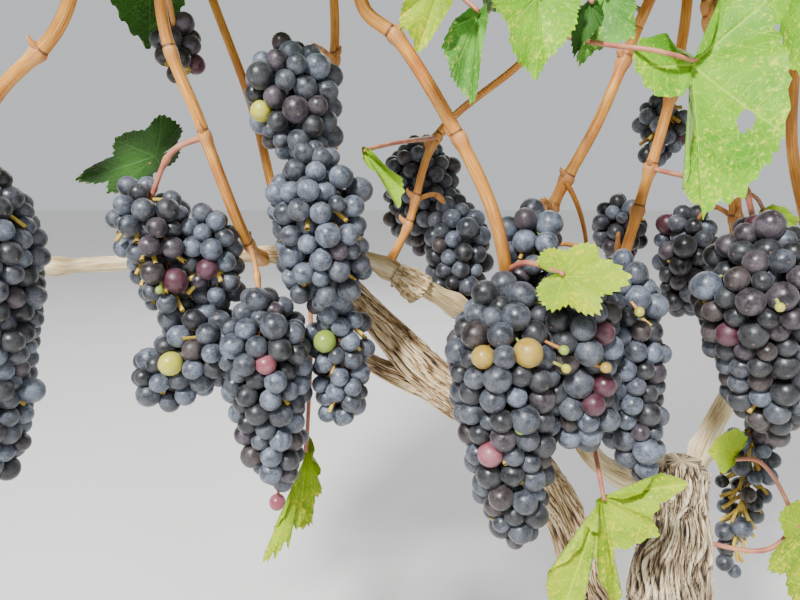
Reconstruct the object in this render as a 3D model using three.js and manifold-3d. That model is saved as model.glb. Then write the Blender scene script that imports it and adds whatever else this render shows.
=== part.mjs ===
// A grapevine of a low vineyard row, in ripe fruit. Millimetres, +Z up.
// The origin is the flat cut under the trunk, at ground level. The row runs along X,
// and the side with the ripe bunches faces -Y.

import * as THREE from 'three';
import { mergeVertices } from 'three/addons/utils/BufferGeometryUtils.js';
import Module from 'manifold-3d';

const wasm = await Module();
wasm.setup();

// Driving dimensions
const GAP = 0.3;                 // clear space between pieces that touch
const TRUNK_RADIUS = 29;
const ROOT_FLARE = 17;           // extra radius at the ground
const FLARE_HEIGHT = 45;         // height over which the flare dies away
const NECKING = 7;               // the trunk is this much slimmer under its head
const HEAD_HEIGHT = 400;
const LEG_RADIUS = [17, 13];     // first and last radius of a limb
const UPPER_STUB_RADIUS = [14, 8.5];
const LOWER_STUB_RADIUS = [11, 3];
const CANE_RADIUS = [8, 4.8];
const SHOOT_RADIUS = [4.1, 1.6];
const TWIG_RADIUS = [1.8, 1.4];
const CROWN_FLOOR = 752;         // the leaf masses lie above the fruit zone
const CROWN_TOP = 1755;          // the crown is trimmed to this height
const CROWN_DEPTH = 215;         // half the crown's depth along Y
const ROW_DEPTH = 62;            // stems stand this far before or behind the row
const STATION_HEIGHT = 1000;     // height at which a stem has reached its station
const SPACE_MARGIN = 4;          // what keeps two neighbouring leaf masses apart
const LEAF_SPACING = 74;
const FIRST_LEAF = 25;           // from the foot of a mass to its first leaf
const LAST_LEAF = 12;            // and from its last leaf to the shoot's tip, at the least
const LEAF_LENGTH = [90, 122];
const LEAF_THICKNESS = 0.026;    // a share of the blade's length
const PETIOLE_LENGTH = [52, 90];
const PETIOLE_RADIUS = 2.1;
const SMALL_LEAF = 0.62;         // leaves of side twigs and tips, as a share of the others
const TWIG_LENGTH = [45, 80];
const TWIG_EVERY = 9;            // a side twig stands at every ninth leaf
const BERRY = 14;
const STALK_RADIUS = 2.4;
const BUMP = 0.09;               // how far single berries shape the skin of a bunch
const STALK_RISE = 10;           // a bunch's stalk rises this much before it hangs
const FRONT = -1;
const BACK = 1;

// Colours
const BARK = '#8d7d6a';
const OLD_CANE = '#b29b7a';
const YOUNG_CANE = '#b9703a';
const LEAF_GREEN = '#6f8f3a';
const BERRY_BLUE = '#2b3044';

// Routes of the old wood
const TRUNK = [
  [0, 0, 0], [0, 0, 70], [6, 1, 180], [11, 0, 300], [13, 0, 385], [13, 0, 426],
];
const KNOBS = [
  { route: [[12, -2, 392], [11, -10, 418], [9, -13, 436]], radius: [15, 10.5] },
  { route: [[18, 8, 392], [24, 12, 414], [28, 14, 428]], radius: [12, 8.5] },
];
const LEFT_LEG = [
  [6, 2, 205], [-22, 8, 265], [-46, 10, 325], [-77, 5, 405], [-118, 0, 454], [-163, 0, 486],
];
const UPPER_STUB = [[-150, 0, 478], [-178, 0, 504], [-203, 0, 532], [-226, -2, 559]];
const LOWER_STUB = [[-148, 0, 476], [-180, 4, 489], [-207, 3, 502], [-236, 1, 522]];
const LEFT_CANE = [
  [2, 10, 405], [-41, 11, 424], [-73, 10, 473], [-104, 6, 515], [-133, 5, 534],
  [-190, 5, 566], [-217, 5, 577], [-300, 5, 580], [-430, 3, 572], [-553, 0, 577],
];
const RIGHT_CANE = [
  [24, 14, 400], [44, 20, 446], [64, 20, 492], [80, 20, 546],
  [116, 20, 571], [220, 20, 575], [336, 20, 573],
];
const LEFT_BEND = 4;             // the point of the route where the cane turns level
const RIGHT_BEND = 3;

// Young shoots: the way that each takes through the fruit zone, its row and station in the
// crown, the height where its leaves start, the height of its tip, and its girth as a share
// of the others' where it is a thin one.
const SHOOTS = [
  { way: [[-546, 0, 577], [-543, -14, 655], [-530, -40, 750]],
    row: FRONT, station: -495, leaves: 700, tip: 1590 },
  { way: [[-522, 0, 577], [-474, -40, 633], [-421, -60, 680], [-372, -70, 727]],
    row: FRONT, station: -378, leaves: 745, tip: 1660 },
  { way: [[-286, 4, 578], [-288, -32, 592], [-306, -60, 662], [-322, -70, 727]],
    row: FRONT, station: -264, leaves: 745, tip: 1700, girth: 0.88 },
  { way: [[-268, 6, 581], [-279, 12, 625], [-293, 20, 682], [-320, 22, 759]],
    row: BACK, station: -405, leaves: 772, tip: 1640, girth: 0.8 },
  { way: [[-240, 6, 580], [-239, 30, 632], [-238, 32, 688], [-236, 32, 755]],
    row: BACK, station: -272, leaves: 766, tip: 1690, girth: 0.86 },
  { way: [[-116, 5, 522], [-122, -40, 564], [-139, -70, 618], [-190, -80, 703], [-211, -80, 724]],
    row: FRONT, station: -150, leaves: 728, tip: 1680 },
  { way: [[-200, 6, 570], [-185, 4, 599], [-164, 10, 662], [-109, 12, 709], [-83, 14, 737]],
    row: BACK, station: -140, leaves: 722, tip: 1650, girth: 0.68 },
  { way: [[-104, 8, 515], [-89, 8, 600], [-56, 3, 671], [-27, 0, 747]],
    row: FRONT, station: 76, leaves: 690, tip: 1700 },
  { way: [[-62, 10, 456], [-43, 22, 523], [-20, 24, 605], [7, 24, 752]],
    row: BACK, station: -10, leaves: 764, tip: 1670 },
  { way: [[66, 20, 498], [46, 2, 549], [28, -20, 618], [-4, -32, 738]],
    row: FRONT, station: -38, leaves: 706, tip: 1620 },
  { way: [[112, 20, 570], [98, 40, 654], [95, 42, 717], [94, 42, 758]],
    row: BACK, station: 118, leaves: 768, tip: 1700 },
  { way: [[172, 20, 573], [170, -20, 640], [150, -50, 750]],
    row: FRONT, station: 190, leaves: 700, tip: 1650 },
  { way: [[244, 20, 575], [236, 44, 650], [220, 56, 750]],
    row: BACK, station: 246, leaves: 700, tip: 1690 },
  { way: [[328, 20, 573], [322, -16, 645], [300, -46, 750]],
    row: FRONT, station: 304, leaves: 700, tip: 1600 },
];

// Single leaves that hang into the fruit zone from a shoot's upper part: the shoot, the height
// of the node, the place where the stalk meets the blade, and the blade's tip.
const FRUIT_ZONE_LEAVES = [
  { shoot: 7, node: 703, joint: [-46, -104, 688], tip: [-33, -116, 612] },
  { shoot: 6, node: 738, joint: [-100, -70, 736], tip: [-88, -98, 676] },
  { shoot: 5, node: 748, joint: [-156, -104, 722], tip: [-154, -110, 668] },
  { shoot: 5, node: 732, joint: [-184, -112, 738], tip: [-196, -122, 690] },
  { shoot: 9, node: 734, joint: [26, -84, 738], tip: [40, -104, 684] },
  { shoot: 3, node: 784, joint: [-352, -2, 790], tip: [-364, -14, 716] },
];

// Leaves on stalks of their own, low on the plant: what carries them, the stalk's route and
// the blade's tip.
const LOW_LEAVES = [
  { name: 'low_leaf_left', on: 'left_cane', stalk: [[-256, 5, 580], [-253, 2, 530], [-255, -8, 449]],
    blades: [{ joint: [-255, -8, 449], tip: [-286, -14, 366], face: [-0.88, -0.42, 0.1] }] },
  { name: 'low_leaf_centre', on: 'shoot_6', stalk: [[-124, -45, 574], [-116, -70, 582], [-100, -94, 578]],
    blades: [{ joint: [-100, -94, 578], tip: [-63, -102, 579], face: [0.1, -0.75, 0.6] }] },
  { name: 'low_leaf_trunk', on: 'shoot_9', stalk: [[-57, 13, 474], [-60, -26, 464], [-61, -64, 428]],
    blades: [{ joint: [-61, -64, 428], tip: [-76, -80, 350], face: [0.35, -0.8, 0.3] }] },
  { name: 'low_leaf_right', on: 'trunk',
    stalk: [[20, -4, 372], [70, -20, 372], [82, -24, 392], [64, -20, 428], [47, -18, 441]],
    blades: [
      { joint: [47, -18, 441], tip: [24, -26, 424], face: [0, -0.9, 0.4] },
      { root: [82, -24, 392], joint: [100, -26, 388], tip: [92, -36, 332], face: [0.2, -0.8, 0.4] },
    ] },
  { name: 'low_leaf_back', on: 'left_cane', stalk: [[-352, 4, 577], [-366, 20, 620], [-370, 34, 652]],
    blades: [{ joint: [-370, 34, 652], tip: [-428, 30, 632], face: [0, -0.6, 0.8] }] },
];

// Bunches: the shoot and height of the stalk's foot, and the lobes, each from its shoulder
// to its tip with its greatest and its last radius.
const BUNCHES = [
  { shoot: 1, node: 640, lobes: [[[-424, -82, 622], [-440, -72, 460], 36, 18]] },
  { shoot: 2, node: 655, lobes: [
    [[-346, -52, 617], [-326, -48, 553], 26, 22],
    [[-306, -50, 600], [-303, -46, 562], 19, 16],
  ] },
  { shoot: 2, node: 590, lobes: [
    [[-274, -58, 548], [-271, -46, 444], 32, 17],
    [[-302, -52, 536], [-344, -48, 502], 27, 21],
  ] },
  { shoot: 4, node: 640, lobes: [
    [[-240, -62, 634], [-236, -54, 562], 30, 26],
    [[-228, -46, 545], [-228, -38, 484], 21, 17],
  ] },
  { shoot: 4, node: 716, lobes: [[[-256, -44, 696], [-250, -42, 654], 29, 24]] },
  { shoot: 6, node: 655, lobes: [[[-172, 66, 650], [-174, 68, 594], 30, 24]] },
  { shoot: 6, node: 618, lobes: [[[-149, 26, 604], [-146, 30, 548], 25, 20]] },
  { shoot: 7, node: 612, lobes: [[[-106, -32, 602], [-104, -34, 566], 23, 20]] },
  { shoot: 5, node: 560, lobes: [
    [[-130, -64, 552], [-116, -54, 408], 39, 19],
    [[-88, -66, 560], [-78, -60, 480], 30, 22],
  ] },
  { shoot: 7, node: 585, lobes: [[[-54, -46, 570], [-34, -48, 450], 26, 16]] },
  { shoot: 9, node: 606, lobes: [[[20, 28, 600], [24, 34, 546], 24, 18]] },
  { shoot: 9, node: 640, lobes: [[[8, -92, 590], [28, -84, 496], 41, 22]] },
  { shoot: 8, node: 690, lobes: [[[8, 58, 684], [8, 60, 656], 21, 17]] },
  { shoot: 2, node: 735, lobes: [[[-330, -22, 720], [-328, -22, 702], 17, 14]] },
  { shoot: 10, node: 596, lobes: [[[92, 34, 440], [82, 32, 326], 25, 12]] },
  { shoot: 8, node: 560, lobes: [[[-21, 56, 606], [-19, 58, 582], 22, 17]] },
  { shoot: 11, node: 640, lobes: [[[160, -64, 606], [152, -60, 470], 38, 16]] },
  { shoot: 12, node: 650, lobes: [[[238, 74, 612], [232, 78, 500], 34, 16]] },
  { shoot: 13, node: 640, lobes: [[[312, -58, 604], [304, -54, 476], 36, 16]] },
];

const group = new THREE.Group();

const point = (p) => new THREE.Vector3(...p);
const mix = ([from, to], share) => from + (to - from) * share;
const radians = THREE.MathUtils.degToRad;
const curve = (points) => new THREE.CatmullRomCurve3(points.map(point), false, 'centripetal');

// A stream of even random numbers from 0 to 1 that depends on its seed alone
function random(seed) {
  let state = seed >>> 0;
  return () => {
    state = (state + 0x6d2b79f5) >>> 0;
    let mixed = Math.imul(state ^ (state >>> 15), state | 1);
    mixed ^= mixed + Math.imul(mixed ^ (mixed >>> 7), mixed | 61);
    return ((mixed ^ (mixed >>> 14)) >>> 0) / 4294967296;
  };
}

function solidOf(geometry) {
  geometry.deleteAttribute('normal');
  geometry.deleteAttribute('uv');
  const merged = mergeVertices(geometry, 1e-4);
  return new wasm.Manifold(new wasm.Mesh({
    numProp: 3,
    vertProperties: new Float32Array(merged.attributes.position.array),
    triVerts: new Uint32Array(merged.index.array),
  }));
}

function geometryOf(solid) {
  const mesh = solid.getMesh();
  const geometry = new THREE.BufferGeometry();
  geometry.setAttribute('position', new THREE.BufferAttribute(mesh.vertProperties.slice(), 3));
  geometry.setIndex(new THREE.BufferAttribute(mesh.triVerts.slice(), 1));
  geometry.computeVertexNormals();
  return geometry;
}

// The largest loose part of a solid: a cut can leave scraps beyond the limb that it meets
function mainPart(solid) {
  const parts = solid.decompose();
  return parts.reduce((best, part) => (part.volume() > best.volume() ? part : best));
}

function addNode(name, solid, colour, roughness) {
  const material = new THREE.MeshStandardMaterial({ color: colour, roughness, metalness: 0 });
  const mesh = new THREE.Mesh(geometryOf(solid), material);
  mesh.name = name;
  group.add(mesh);
}

// The stretch of a path from one share of its length to another, as a closed tube. The
// radius is a function of the share along the tube and of the angle round it.
function limb(path, radius, { from = 0, to = 1, sides = 8, steps = 8, grow = 0 } = {}) {
  const chord = path.getPoint(to).sub(path.getPoint(from));
  const spread = [Math.abs(chord.x), Math.abs(chord.y), Math.abs(chord.z)];
  const across = new THREE.Vector3().setComponent(spread.indexOf(Math.min(...spread)), 1);
  const geometry = new THREE.CylinderGeometry(1, 1, 1, sides, steps);
  const place = geometry.attributes.position;
  for (let i = 0; i < place.count; i += 1) {
    const along = place.getY(i) + 0.5;
    const share = from + (to - from) * along;
    const tangent = path.getTangent(share);
    const u = new THREE.Vector3().crossVectors(tangent, across).normalize();
    const v = new THREE.Vector3().crossVectors(u, tangent);
    const angle = Math.atan2(place.getZ(i), place.getX(i));
    const reach = Math.hypot(place.getX(i), place.getZ(i)) * (radius(along, angle) + grow);
    const atAnEnd = along === 0 || along === 1;
    const spot = path.getPoint(share)
      .addScaledVector(u, Math.cos(angle) * reach)
      .addScaledVector(v, Math.sin(angle) * reach)
      .addScaledVector(tangent, atAnEnd ? grow * Math.sign(along - 0.5) : 0);
    place.setXYZ(i, spot.x, spot.y, spot.z);
  }
  return solidOf(geometry);
}

const taper = (radii) => (along) => mix(radii, along);
const knotty = (radii, beat) => (along, angle) => mix(radii, along)
  * (1 + 0.09 * Math.sin(2 * angle + beat * along) + 0.05 * Math.sin(3 * angle - beat * along));
const KNOB_BEAT = 4;             // how fast the knots wind along a limb
const STUB_BEAT = 5;
const LEG_BEAT = 6;

// The share of a path at which it passes a height; every path that is asked rises throughout
function shareAtHeight(path, height) {
  let low = 0;
  let high = 1;
  for (let i = 0; i < 40; i += 1) {
    const middle = (low + high) / 2;
    if (path.getPoint(middle).z < height) {
      low = middle;
    } else {
      high = middle;
    }
  }
  return (low + high) / 2;
}

// Trunk with its lean, root flare and knobbed head
function trunkRadius(along, angle) {
  const height = along * HEAD_HEIGHT;
  const flare = ROOT_FLARE * Math.exp(-height / FLARE_HEIGHT) * (1 + 0.3 * Math.sin(3 * angle + 1));
  const neck = NECKING * THREE.MathUtils.smoothstep(along, 0.66, 0.84);
  const ribs = 1 + 0.07 * Math.sin(3 * angle + 3 * along) + 0.04 * Math.sin(5 * angle - 6 * along);
  return TRUNK_RADIUS * ribs * (1 - 0.1 * along) + flare - neck;
}

function trunkWith(grow) {
  const shaft = limb(curve(TRUNK), trunkRadius, { sides: 12, steps: 11, grow });
  const knobs = KNOBS.map((knob) => limb(
    curve(knob.route), knotty(knob.radius, KNOB_BEAT), { sides: 9, steps: 3, grow },
  ));
  return wasm.Manifold.union([shaft, ...knobs]);
}

function oldLimb(route, radii, beat, sides, steps) {
  return (grow) => limb(curve(route), knotty(radii, beat), { sides, steps, grow });
}

// Each piece of old wood as a function of how much it is grown all round
const oldWood = {
  trunk: trunkWith,
  left_leg: oldLimb(LEFT_LEG, LEG_RADIUS, LEG_BEAT, 10, 12),
  upper_stub: oldLimb(UPPER_STUB, UPPER_STUB_RADIUS, STUB_BEAT, 9, 6),
  lower_stub: oldLimb(LOWER_STUB, LOWER_STUB_RADIUS, STUB_BEAT, 8, 6),
};

// A fruiting cane in two limbs, split where it turns level; the second starts a gap after
function caneLimbs(points, bend, radii) {
  const path = curve(points);
  const split = bend / (points.length - 1);
  const clear = GAP / path.getLength();
  const middle = mix(radii, split);
  return [
    (grow) => limb(path, taper([radii[0], middle]), { to: split, sides: 7, steps: 7, grow }),
    (grow) => limb(path, taper([middle, radii[1]]), { from: split + clear, sides: 7, steps: 8, grow }),
  ];
}

[oldWood.left_rise, oldWood.left_cane] = caneLimbs(LEFT_CANE, LEFT_BEND, CANE_RADIUS);
[oldWood.right_rise, oldWood.right_cane] = caneLimbs(RIGHT_CANE, RIGHT_BEND, CANE_RADIUS);

// Each limb is cut 0.3 mm clear of those that carry it
const CARRIED_BY = {
  left_leg: ['trunk'],
  upper_stub: ['left_leg'],
  lower_stub: ['left_leg', 'upper_stub'],
  left_rise: ['trunk'],
  right_rise: ['trunk'],
};

function cutClear(solid, carriers) {
  const cut = carriers.reduce((rest, name) => rest.subtract(oldWood[name](GAP)), solid);
  return mainPart(cut);
}

for (const [name, make] of Object.entries(oldWood)) {
  const colour = /cane|rise/.test(name) ? OLD_CANE : BARK;
  addNode(name, cutClear(make(0), CARRIED_BY[name] ?? []), colour, 0.9);
}

// Seeds of the random streams, with the number of the shoot added
const STEM_SEED = 900;
const JITTER_SEED = 300;
const LEAF_SEED = 10000;         // times the shoot's number, and 100 more for each leaf
const TWIG_SEED = 50;
const TIP_SEED = 9900;

// Stems: the whole path of each shoot, from the cane to its tip in the crown
const stems = SHOOTS.map((shoot, index) => {
  const drift = random(STEM_SEED + index);
  const depth = shoot.row * ROW_DEPTH;
  const path = curve([
    ...shoot.way,
    [shoot.station, depth, STATION_HEIGHT],
    [shoot.station + 24 * (drift() - 0.5), depth * 0.9, (STATION_HEIGHT + shoot.tip) / 2],
    [shoot.station + 36 * (drift() - 0.5), depth * 0.7, shoot.tip],
  ]);
  return { girth: 1, ...shoot, path, foot: path.getPoint(0).z, blades: [] };
});

const stemPoint = (stem, height) => stem.path.getPoint(shareAtHeight(stem.path, height));
const stemRadius = (stem, height) => stem.girth
  * mix(SHOOT_RADIUS, (height - stem.foot) / (stem.tip - stem.foot));

// Places of a stem at even heights, so that its nearness can be asked often
const HEIGHT_STEP = 10;
for (const stem of stems) {
  const count = Math.ceil((stem.tip - stem.foot) / HEIGHT_STEP);
  stem.places = Array.from({ length: count + 1 }, (_, i) => stemPoint(stem, stem.foot + i * HEIGHT_STEP));
}

function distanceToStem(stem, spot) {
  const index = THREE.MathUtils.clamp((spot.z - stem.foot) / HEIGHT_STEP, 0, stem.places.length - 1.001);
  const below = stem.places[Math.floor(index)];
  const above = stem.places[Math.floor(index) + 1];
  const share = index - Math.floor(index);
  return Math.hypot(spot.x - mix([below.x, above.x], share), spot.y - mix([below.y, above.y], share));
}

// A mass keeps to the space that is nearer to its own stem than to any other, above the
// fruit zone and inside the trimmed outline of the crown
function inOwnSpace(owner, spot) {
  if (spot.z < CROWN_FLOOR || spot.z > CROWN_TOP || Math.abs(spot.y) > CROWN_DEPTH) {
    return false;
  }
  const own = distanceToStem(owner, spot) + SPACE_MARGIN;
  return stems.every((stem) => stem === owner || distanceToStem(stem, spot) > own);
}

// A leaf's rim, as shares of the blade's length along and across its midrib, from the point
// where the stalk joins it: base lobe, side lobe, tip, and the other side back again
const BLADE_RIM = [[-0.17, 0.23], [0.2, 0.52], [0.8, 0], [0.2, -0.52], [-0.17, -0.23]];
const BLADE_CENTRE = 0.26;
const BLADE_DISH = 0.05;
const TIP_DROOP = 0.07;

function bladeFrame(joint, tip, face) {
  const along = tip.clone().sub(joint).normalize();
  const normal = face.clone().addScaledVector(along, -face.dot(along)).normalize();
  return { joint, along, normal, across: new THREE.Vector3().crossVectors(normal, along) };
}

function bladePoint(frame, length, [u, w], lift = 0) {
  return frame.joint.clone()
    .addScaledVector(frame.along, u * length)
    .addScaledVector(frame.across, w * length)
    .addScaledVector(frame.normal, lift * length);
}

function bladeRim(frame, length) {
  return BLADE_RIM.map((spot) => bladePoint(frame, length, spot, spot[0] > 0.7 ? -TIP_DROOP : 0));
}

// A leaf: a shallow dish, thickest in its middle, on a three-sided stalk that runs back to
// its root. Vertices: the stalk's section at the blade, the rim, the two middles, the root.
function leafSolid(root, frame, length) {
  const half = LEAF_THICKNESS / 2;
  const slim = PETIOLE_RADIUS / length;
  const section = [[[0, slim], 0], [[0, -slim], 0], [[0.035, 0], -0.025]]
    .map(([spot, lift]) => bladePoint(frame, length, spot, lift));
  const middles = [half, -half].map(
    (lift) => bladePoint(frame, length, [BLADE_CENTRE, 0], lift - BLADE_DISH),
  );
  const foot = section.map((spot) => spot.clone().sub(frame.joint).add(root));
  const geometry = new THREE.BufferGeometry()
    .setFromPoints([...section, ...bladeRim(frame, length), ...middles, ...foot]);
  const [LEFT, RIGHT, UNDER, RIM, UPPER, LOWER, FOOT] = [0, 1, 2, 3, 8, 9, 10];
  const top = [LEFT, RIM, RIM + 1, RIM + 2, RIM + 3, RIM + 4, RIGHT];
  const bottom = [...top, UNDER];
  const faces = [FOOT, FOOT + 2, FOOT + 1];
  top.forEach((vertex, i) => faces.push(top[(i + 1) % top.length], vertex, UPPER));
  bottom.forEach((vertex, i) => faces.push(vertex, bottom[(i + 1) % bottom.length], LOWER));
  for (const [near, far] of [[LEFT, RIGHT], [RIGHT, UNDER], [UNDER, LEFT]]) {
    faces.push(far, near, FOOT + near, far, FOOT + near, FOOT + far);
  }
  geometry.setIndex(faces);
  return solidOf(geometry);
}

function stalk(points, radii, steps) {
  return limb(curve(points.map((p) => p.toArray())), taper(radii), { sides: 3, steps });
}

// Unit vector of an azimuth round +Z, from +X, and an elevation, both in degrees
function heading(azimuth, elevation) {
  const flat = Math.cos(radians(elevation));
  return new THREE.Vector3(
    flat * Math.cos(radians(azimuth)), flat * Math.sin(radians(azimuth)), Math.sin(radians(elevation)),
  );
}

// One leaf drawn by the seeded rule: it stands off its root on a rising stalk and hangs its
// tip outward and down. It is drawn again while it leaves its mass's space or crowds a leaf
// that is there, and then smaller; a leaf that never fits is skipped.
const ATTEMPTS = 24;
const SHRINK = [1, 0.9, 0.8];
const CROWDING = 0.66;           // least distance of two blades' middles, in lengths
function growLeaf(stem, root, side, scale, seed) {
  for (let attempt = 0; attempt < ATTEMPTS; attempt += 1) {
    const draw = random(seed + attempt * 7919);
    const size = scale * SHRINK[Math.floor((attempt * SHRINK.length) / ATTEMPTS)];
    const length = mix(LEAF_LENGTH, draw()) * size;
    const azimuth = stem.row * 90 + side * (5 + 70 * draw());
    const joint = root.clone().addScaledVector(
      heading(azimuth, 15 + 35 * draw()), mix(PETIOLE_LENGTH, draw()) * size,
    );
    const turn = azimuth + 60 * (draw() - 0.5);
    const drop = 20 + 55 * draw();
    const face = heading(turn + 50 * (draw() - 0.5), 90 - drop);
    const frame = bladeFrame(joint, joint.clone().add(heading(turn, -drop)), face);
    const middle = bladePoint(frame, length, [BLADE_CENTRE, 0]);
    const stalkRunsBack = joint.clone().sub(root).dot(frame.along) > 0;
    const crowded = stem.blades.some(
      (other) => other.middle.distanceTo(middle) < CROWDING * mix([length, other.length], 0.5),
    );
    if (stalkRunsBack && !crowded && bladeRim(frame, length).every((spot) => inOwnSpace(stem, spot))) {
      stem.blades.push({ middle, length });
      return [leafSolid(root, frame, length)];
    }
  }
  return [];
}

// The length of a blade whose joint and tip are given: the tip lies 0.8 of it from the joint
const bladeLength = ({ joint, tip }) => point(joint).distanceTo(point(tip)) / 0.8;
const FRUIT_ZONE_FACE = new THREE.Vector3(0.1, -0.8, 0.55);

// Leaves get smaller towards the tips of the shoots
const leafScale = (height) => 1 - 0.4 * THREE.MathUtils.clamp((height - 1350) / 350, 0, 1);

// A side twig of a mass with two small leaves
function growTwig(stem, root, side, scale, seed) {
  const draw = random(seed);
  const azimuth = stem.row * 90 + side * (20 + 40 * draw());
  const end = root.clone().addScaledVector(heading(azimuth, 20 + 30 * draw()), mix(TWIG_LENGTH, draw()));
  if (!inOwnSpace(stem, end)) {
    return [];
  }
  const leaves = [0.576, 0.96].flatMap((share, i) => growLeaf(
    stem, root.clone().lerp(end, share), i ? side : -side, scale * SMALL_LEAF, seed + 31 + i,
  ));
  const wood = stalk([root, root.clone().lerp(end, 0.5), end], TWIG_RADIUS, 1);
  return leaves.length ? [wood, ...leaves] : [];
}

// A foliage mass: the upper stem with a leaf at each node, left and right in turn, and a
// side twig at every ninth
function leafMass(stem, index) {
  const start = shareAtHeight(stem.path, stem.leaves + GAP);
  const radii = [stemRadius(stem, stem.leaves), stemRadius(stem, stem.tip)];
  const parts = [limb(stem.path, taper(radii), { from: start, sides: 4, steps: 7 })];
  const jitter = random(JITTER_SEED + index);
  const seed = LEAF_SEED * (index + 1);
  let count = 0;
  for (let height = stem.leaves + FIRST_LEAF; height < stem.tip - LAST_LEAF; height += LEAF_SPACING) {
    const root = stemPoint(stem, height + 12 * (jitter() - 0.5));
    const side = count % 2 ? 1 : -1;
    parts.push(...growLeaf(stem, root, side, leafScale(height), seed + 100 * count));
    if (count % TWIG_EVERY === 4) {
      parts.push(...growTwig(stem, root, -side, leafScale(height), seed + 100 * count + TWIG_SEED));
    }
    count += 1;
  }
  const top = stemPoint(stem, stem.tip - LAST_LEAF / 2);
  parts.push(...growLeaf(stem, top, stem.row, SMALL_LEAF, seed + TIP_SEED));
  for (const leaf of FRUIT_ZONE_LEAVES.filter((entry) => entry.shoot === index)) {
    const frame = bladeFrame(point(leaf.joint), point(leaf.tip), FRUIT_ZONE_FACE);
    parts.push(leafSolid(stemPoint(stem, leaf.node), frame, bladeLength(leaf)));
  }
  return mainPart(wasm.Manifold.union(parts));
}

const shootSolid = (stem, grow) => limb(
  stem.path,
  taper([stemRadius(stem, stem.foot), stemRadius(stem, stem.leaves)]),
  { to: shareAtHeight(stem.path, stem.leaves), sides: 6, steps: 4, grow },
);

// The cane that a shoot's foot stands on
const carrierOf = (stem) => {
  const side = stem.way[0][0] > 0 ? 'right' : 'left';
  const bend = side === 'right' ? RIGHT_CANE[RIGHT_BEND] : LEFT_CANE[LEFT_BEND];
  return Math.abs(stem.way[0][0]) < Math.abs(bend[0]) ? `${side}_rise` : `${side}_cane`;
};

stems.forEach((stem, index) => {
  const whole = cutClear(shootSolid(stem, 0), [carrierOf(stem)]);
  addNode(`shoot_${index + 1}`, whole, YOUNG_CANE, 0.55);
});
stems.forEach((stem, index) => {
  addNode(`leaves_${index + 1}`, leafMass(stem, index), LEAF_GREEN, 0.6);
});

// Low leaves, each on a stalk cut clear of what carries it
for (const leaf of LOW_LEAVES) {
  const parts = [stalk(leaf.stalk.map(point), [PETIOLE_RADIUS, PETIOLE_RADIUS], 2 * leaf.stalk.length)];
  for (const entry of leaf.blades) {
    const frame = bladeFrame(point(entry.joint), point(entry.tip), point(entry.face));
    const behind = frame.joint.clone().addScaledVector(frame.along, -6);
    parts.push(leafSolid(entry.root ? point(entry.root) : behind, frame, bladeLength(entry)));
  }
  const stem = stems[Number(leaf.on.split('_')[1]) - 1];
  const carrier = leaf.on.startsWith('shoot') ? shootSolid(stem, GAP) : oldWood[leaf.on](GAP);
  addNode(leaf.name, mainPart(wasm.Manifold.union(parts).subtract(carrier)), LEAF_GREEN, 0.6);
}

// Half the width of a lobe: rounded at its shoulder and tip, narrowing between them
function lobeRadius(radii, share) {
  const shoulder = Math.sqrt(Math.max(0, 1 - (1 - Math.min(1, share / 0.26)) ** 2));
  const end = Math.sqrt(Math.max(0, 1 - Math.max(0, (share - 0.8) / 0.2) ** 2));
  return Math.max(1.5, mix(radii, share ** 1.3) * shoulder * end);
}

// A lobe is a closed form whose skin goes in and out by turns, as its berries do
function lobe([top, tip, ...radii], grow) {
  const [start, end] = [point(top), point(tip)];
  const reach = end.clone().sub(start).setLength(BERRY / 2);
  const path = new THREE.LineCurve3(start.sub(reach), end.add(reach));
  const sides = radii[0] > 30 ? 10 : 8;
  const steps = Math.max(5, Math.round(path.getLength() / (1.3 * BERRY)));
  const wave = (along, angle) => Math.cos(
    (sides / 2) * (angle - Math.PI / 2) + Math.PI * Math.round(along * steps),
  );
  const skin = (along, angle) => lobeRadius(radii, along) * (1 + BUMP * wave(along, angle));
  return limb(path, skin, { sides, steps, grow });
}

// A bunch: its lobes, the stalk to its shoot, and the stalks from lobe to lobe
function bunchWith(entry, grow) {
  const heads = entry.lobes.map((each) => point(each[0]));
  const stalks = heads.map((head, number) => {
    const start = number ? heads[0] : stemPoint(stems[entry.shoot], entry.node);
    const bow = start.clone().lerp(head, 0.5).add(new THREE.Vector3(0, 0, number ? 0 : STALK_RISE));
    const end = head.clone().lerp(point(entry.lobes[number][1]), 0.1);
    return stalk([start, bow, end], [STALK_RADIUS + grow, STALK_RADIUS + grow], 3);
  });
  return wasm.Manifold.union([...entry.lobes.map((each) => lobe(each, grow)), ...stalks]);
}

// What a bunch may meet, each grown by the gap: the old wood, the shoots and earlier bunches
const neighbours = [
  ...Object.values(oldWood).map((make) => make(GAP)),
  ...stems.map((stem) => shootSolid(stem, GAP)),
];
BUNCHES.forEach((entry, index) => {
  let solid = bunchWith(entry, 0);
  for (const other of neighbours) {
    if (!solid.intersect(other).isEmpty()) {
      solid = solid.subtract(other);
    }
  }
  addNode(`bunch_${index + 1}`, mainPart(solid), BERRY_BLUE, 0.55);
  neighbours.push(bunchWith(entry, GAP));
});

export default group;
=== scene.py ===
# %% [markdown]
# # A grapevine in ripe fruit
#
# One low vine: a short gnarled trunk, an old arm, two level fruiting canes, upright shoots, a
# leafy crown and hanging bunches of blue-black grapes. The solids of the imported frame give
# every limb, mass and bunch its place. This lesson dresses them: bark with real relief,
# jointed shoots, lobed leaves, and bunches built berry by berry. Lengths are in millimetres
# as on a workshop drawing, and become metres only when a mesh is made.

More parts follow.
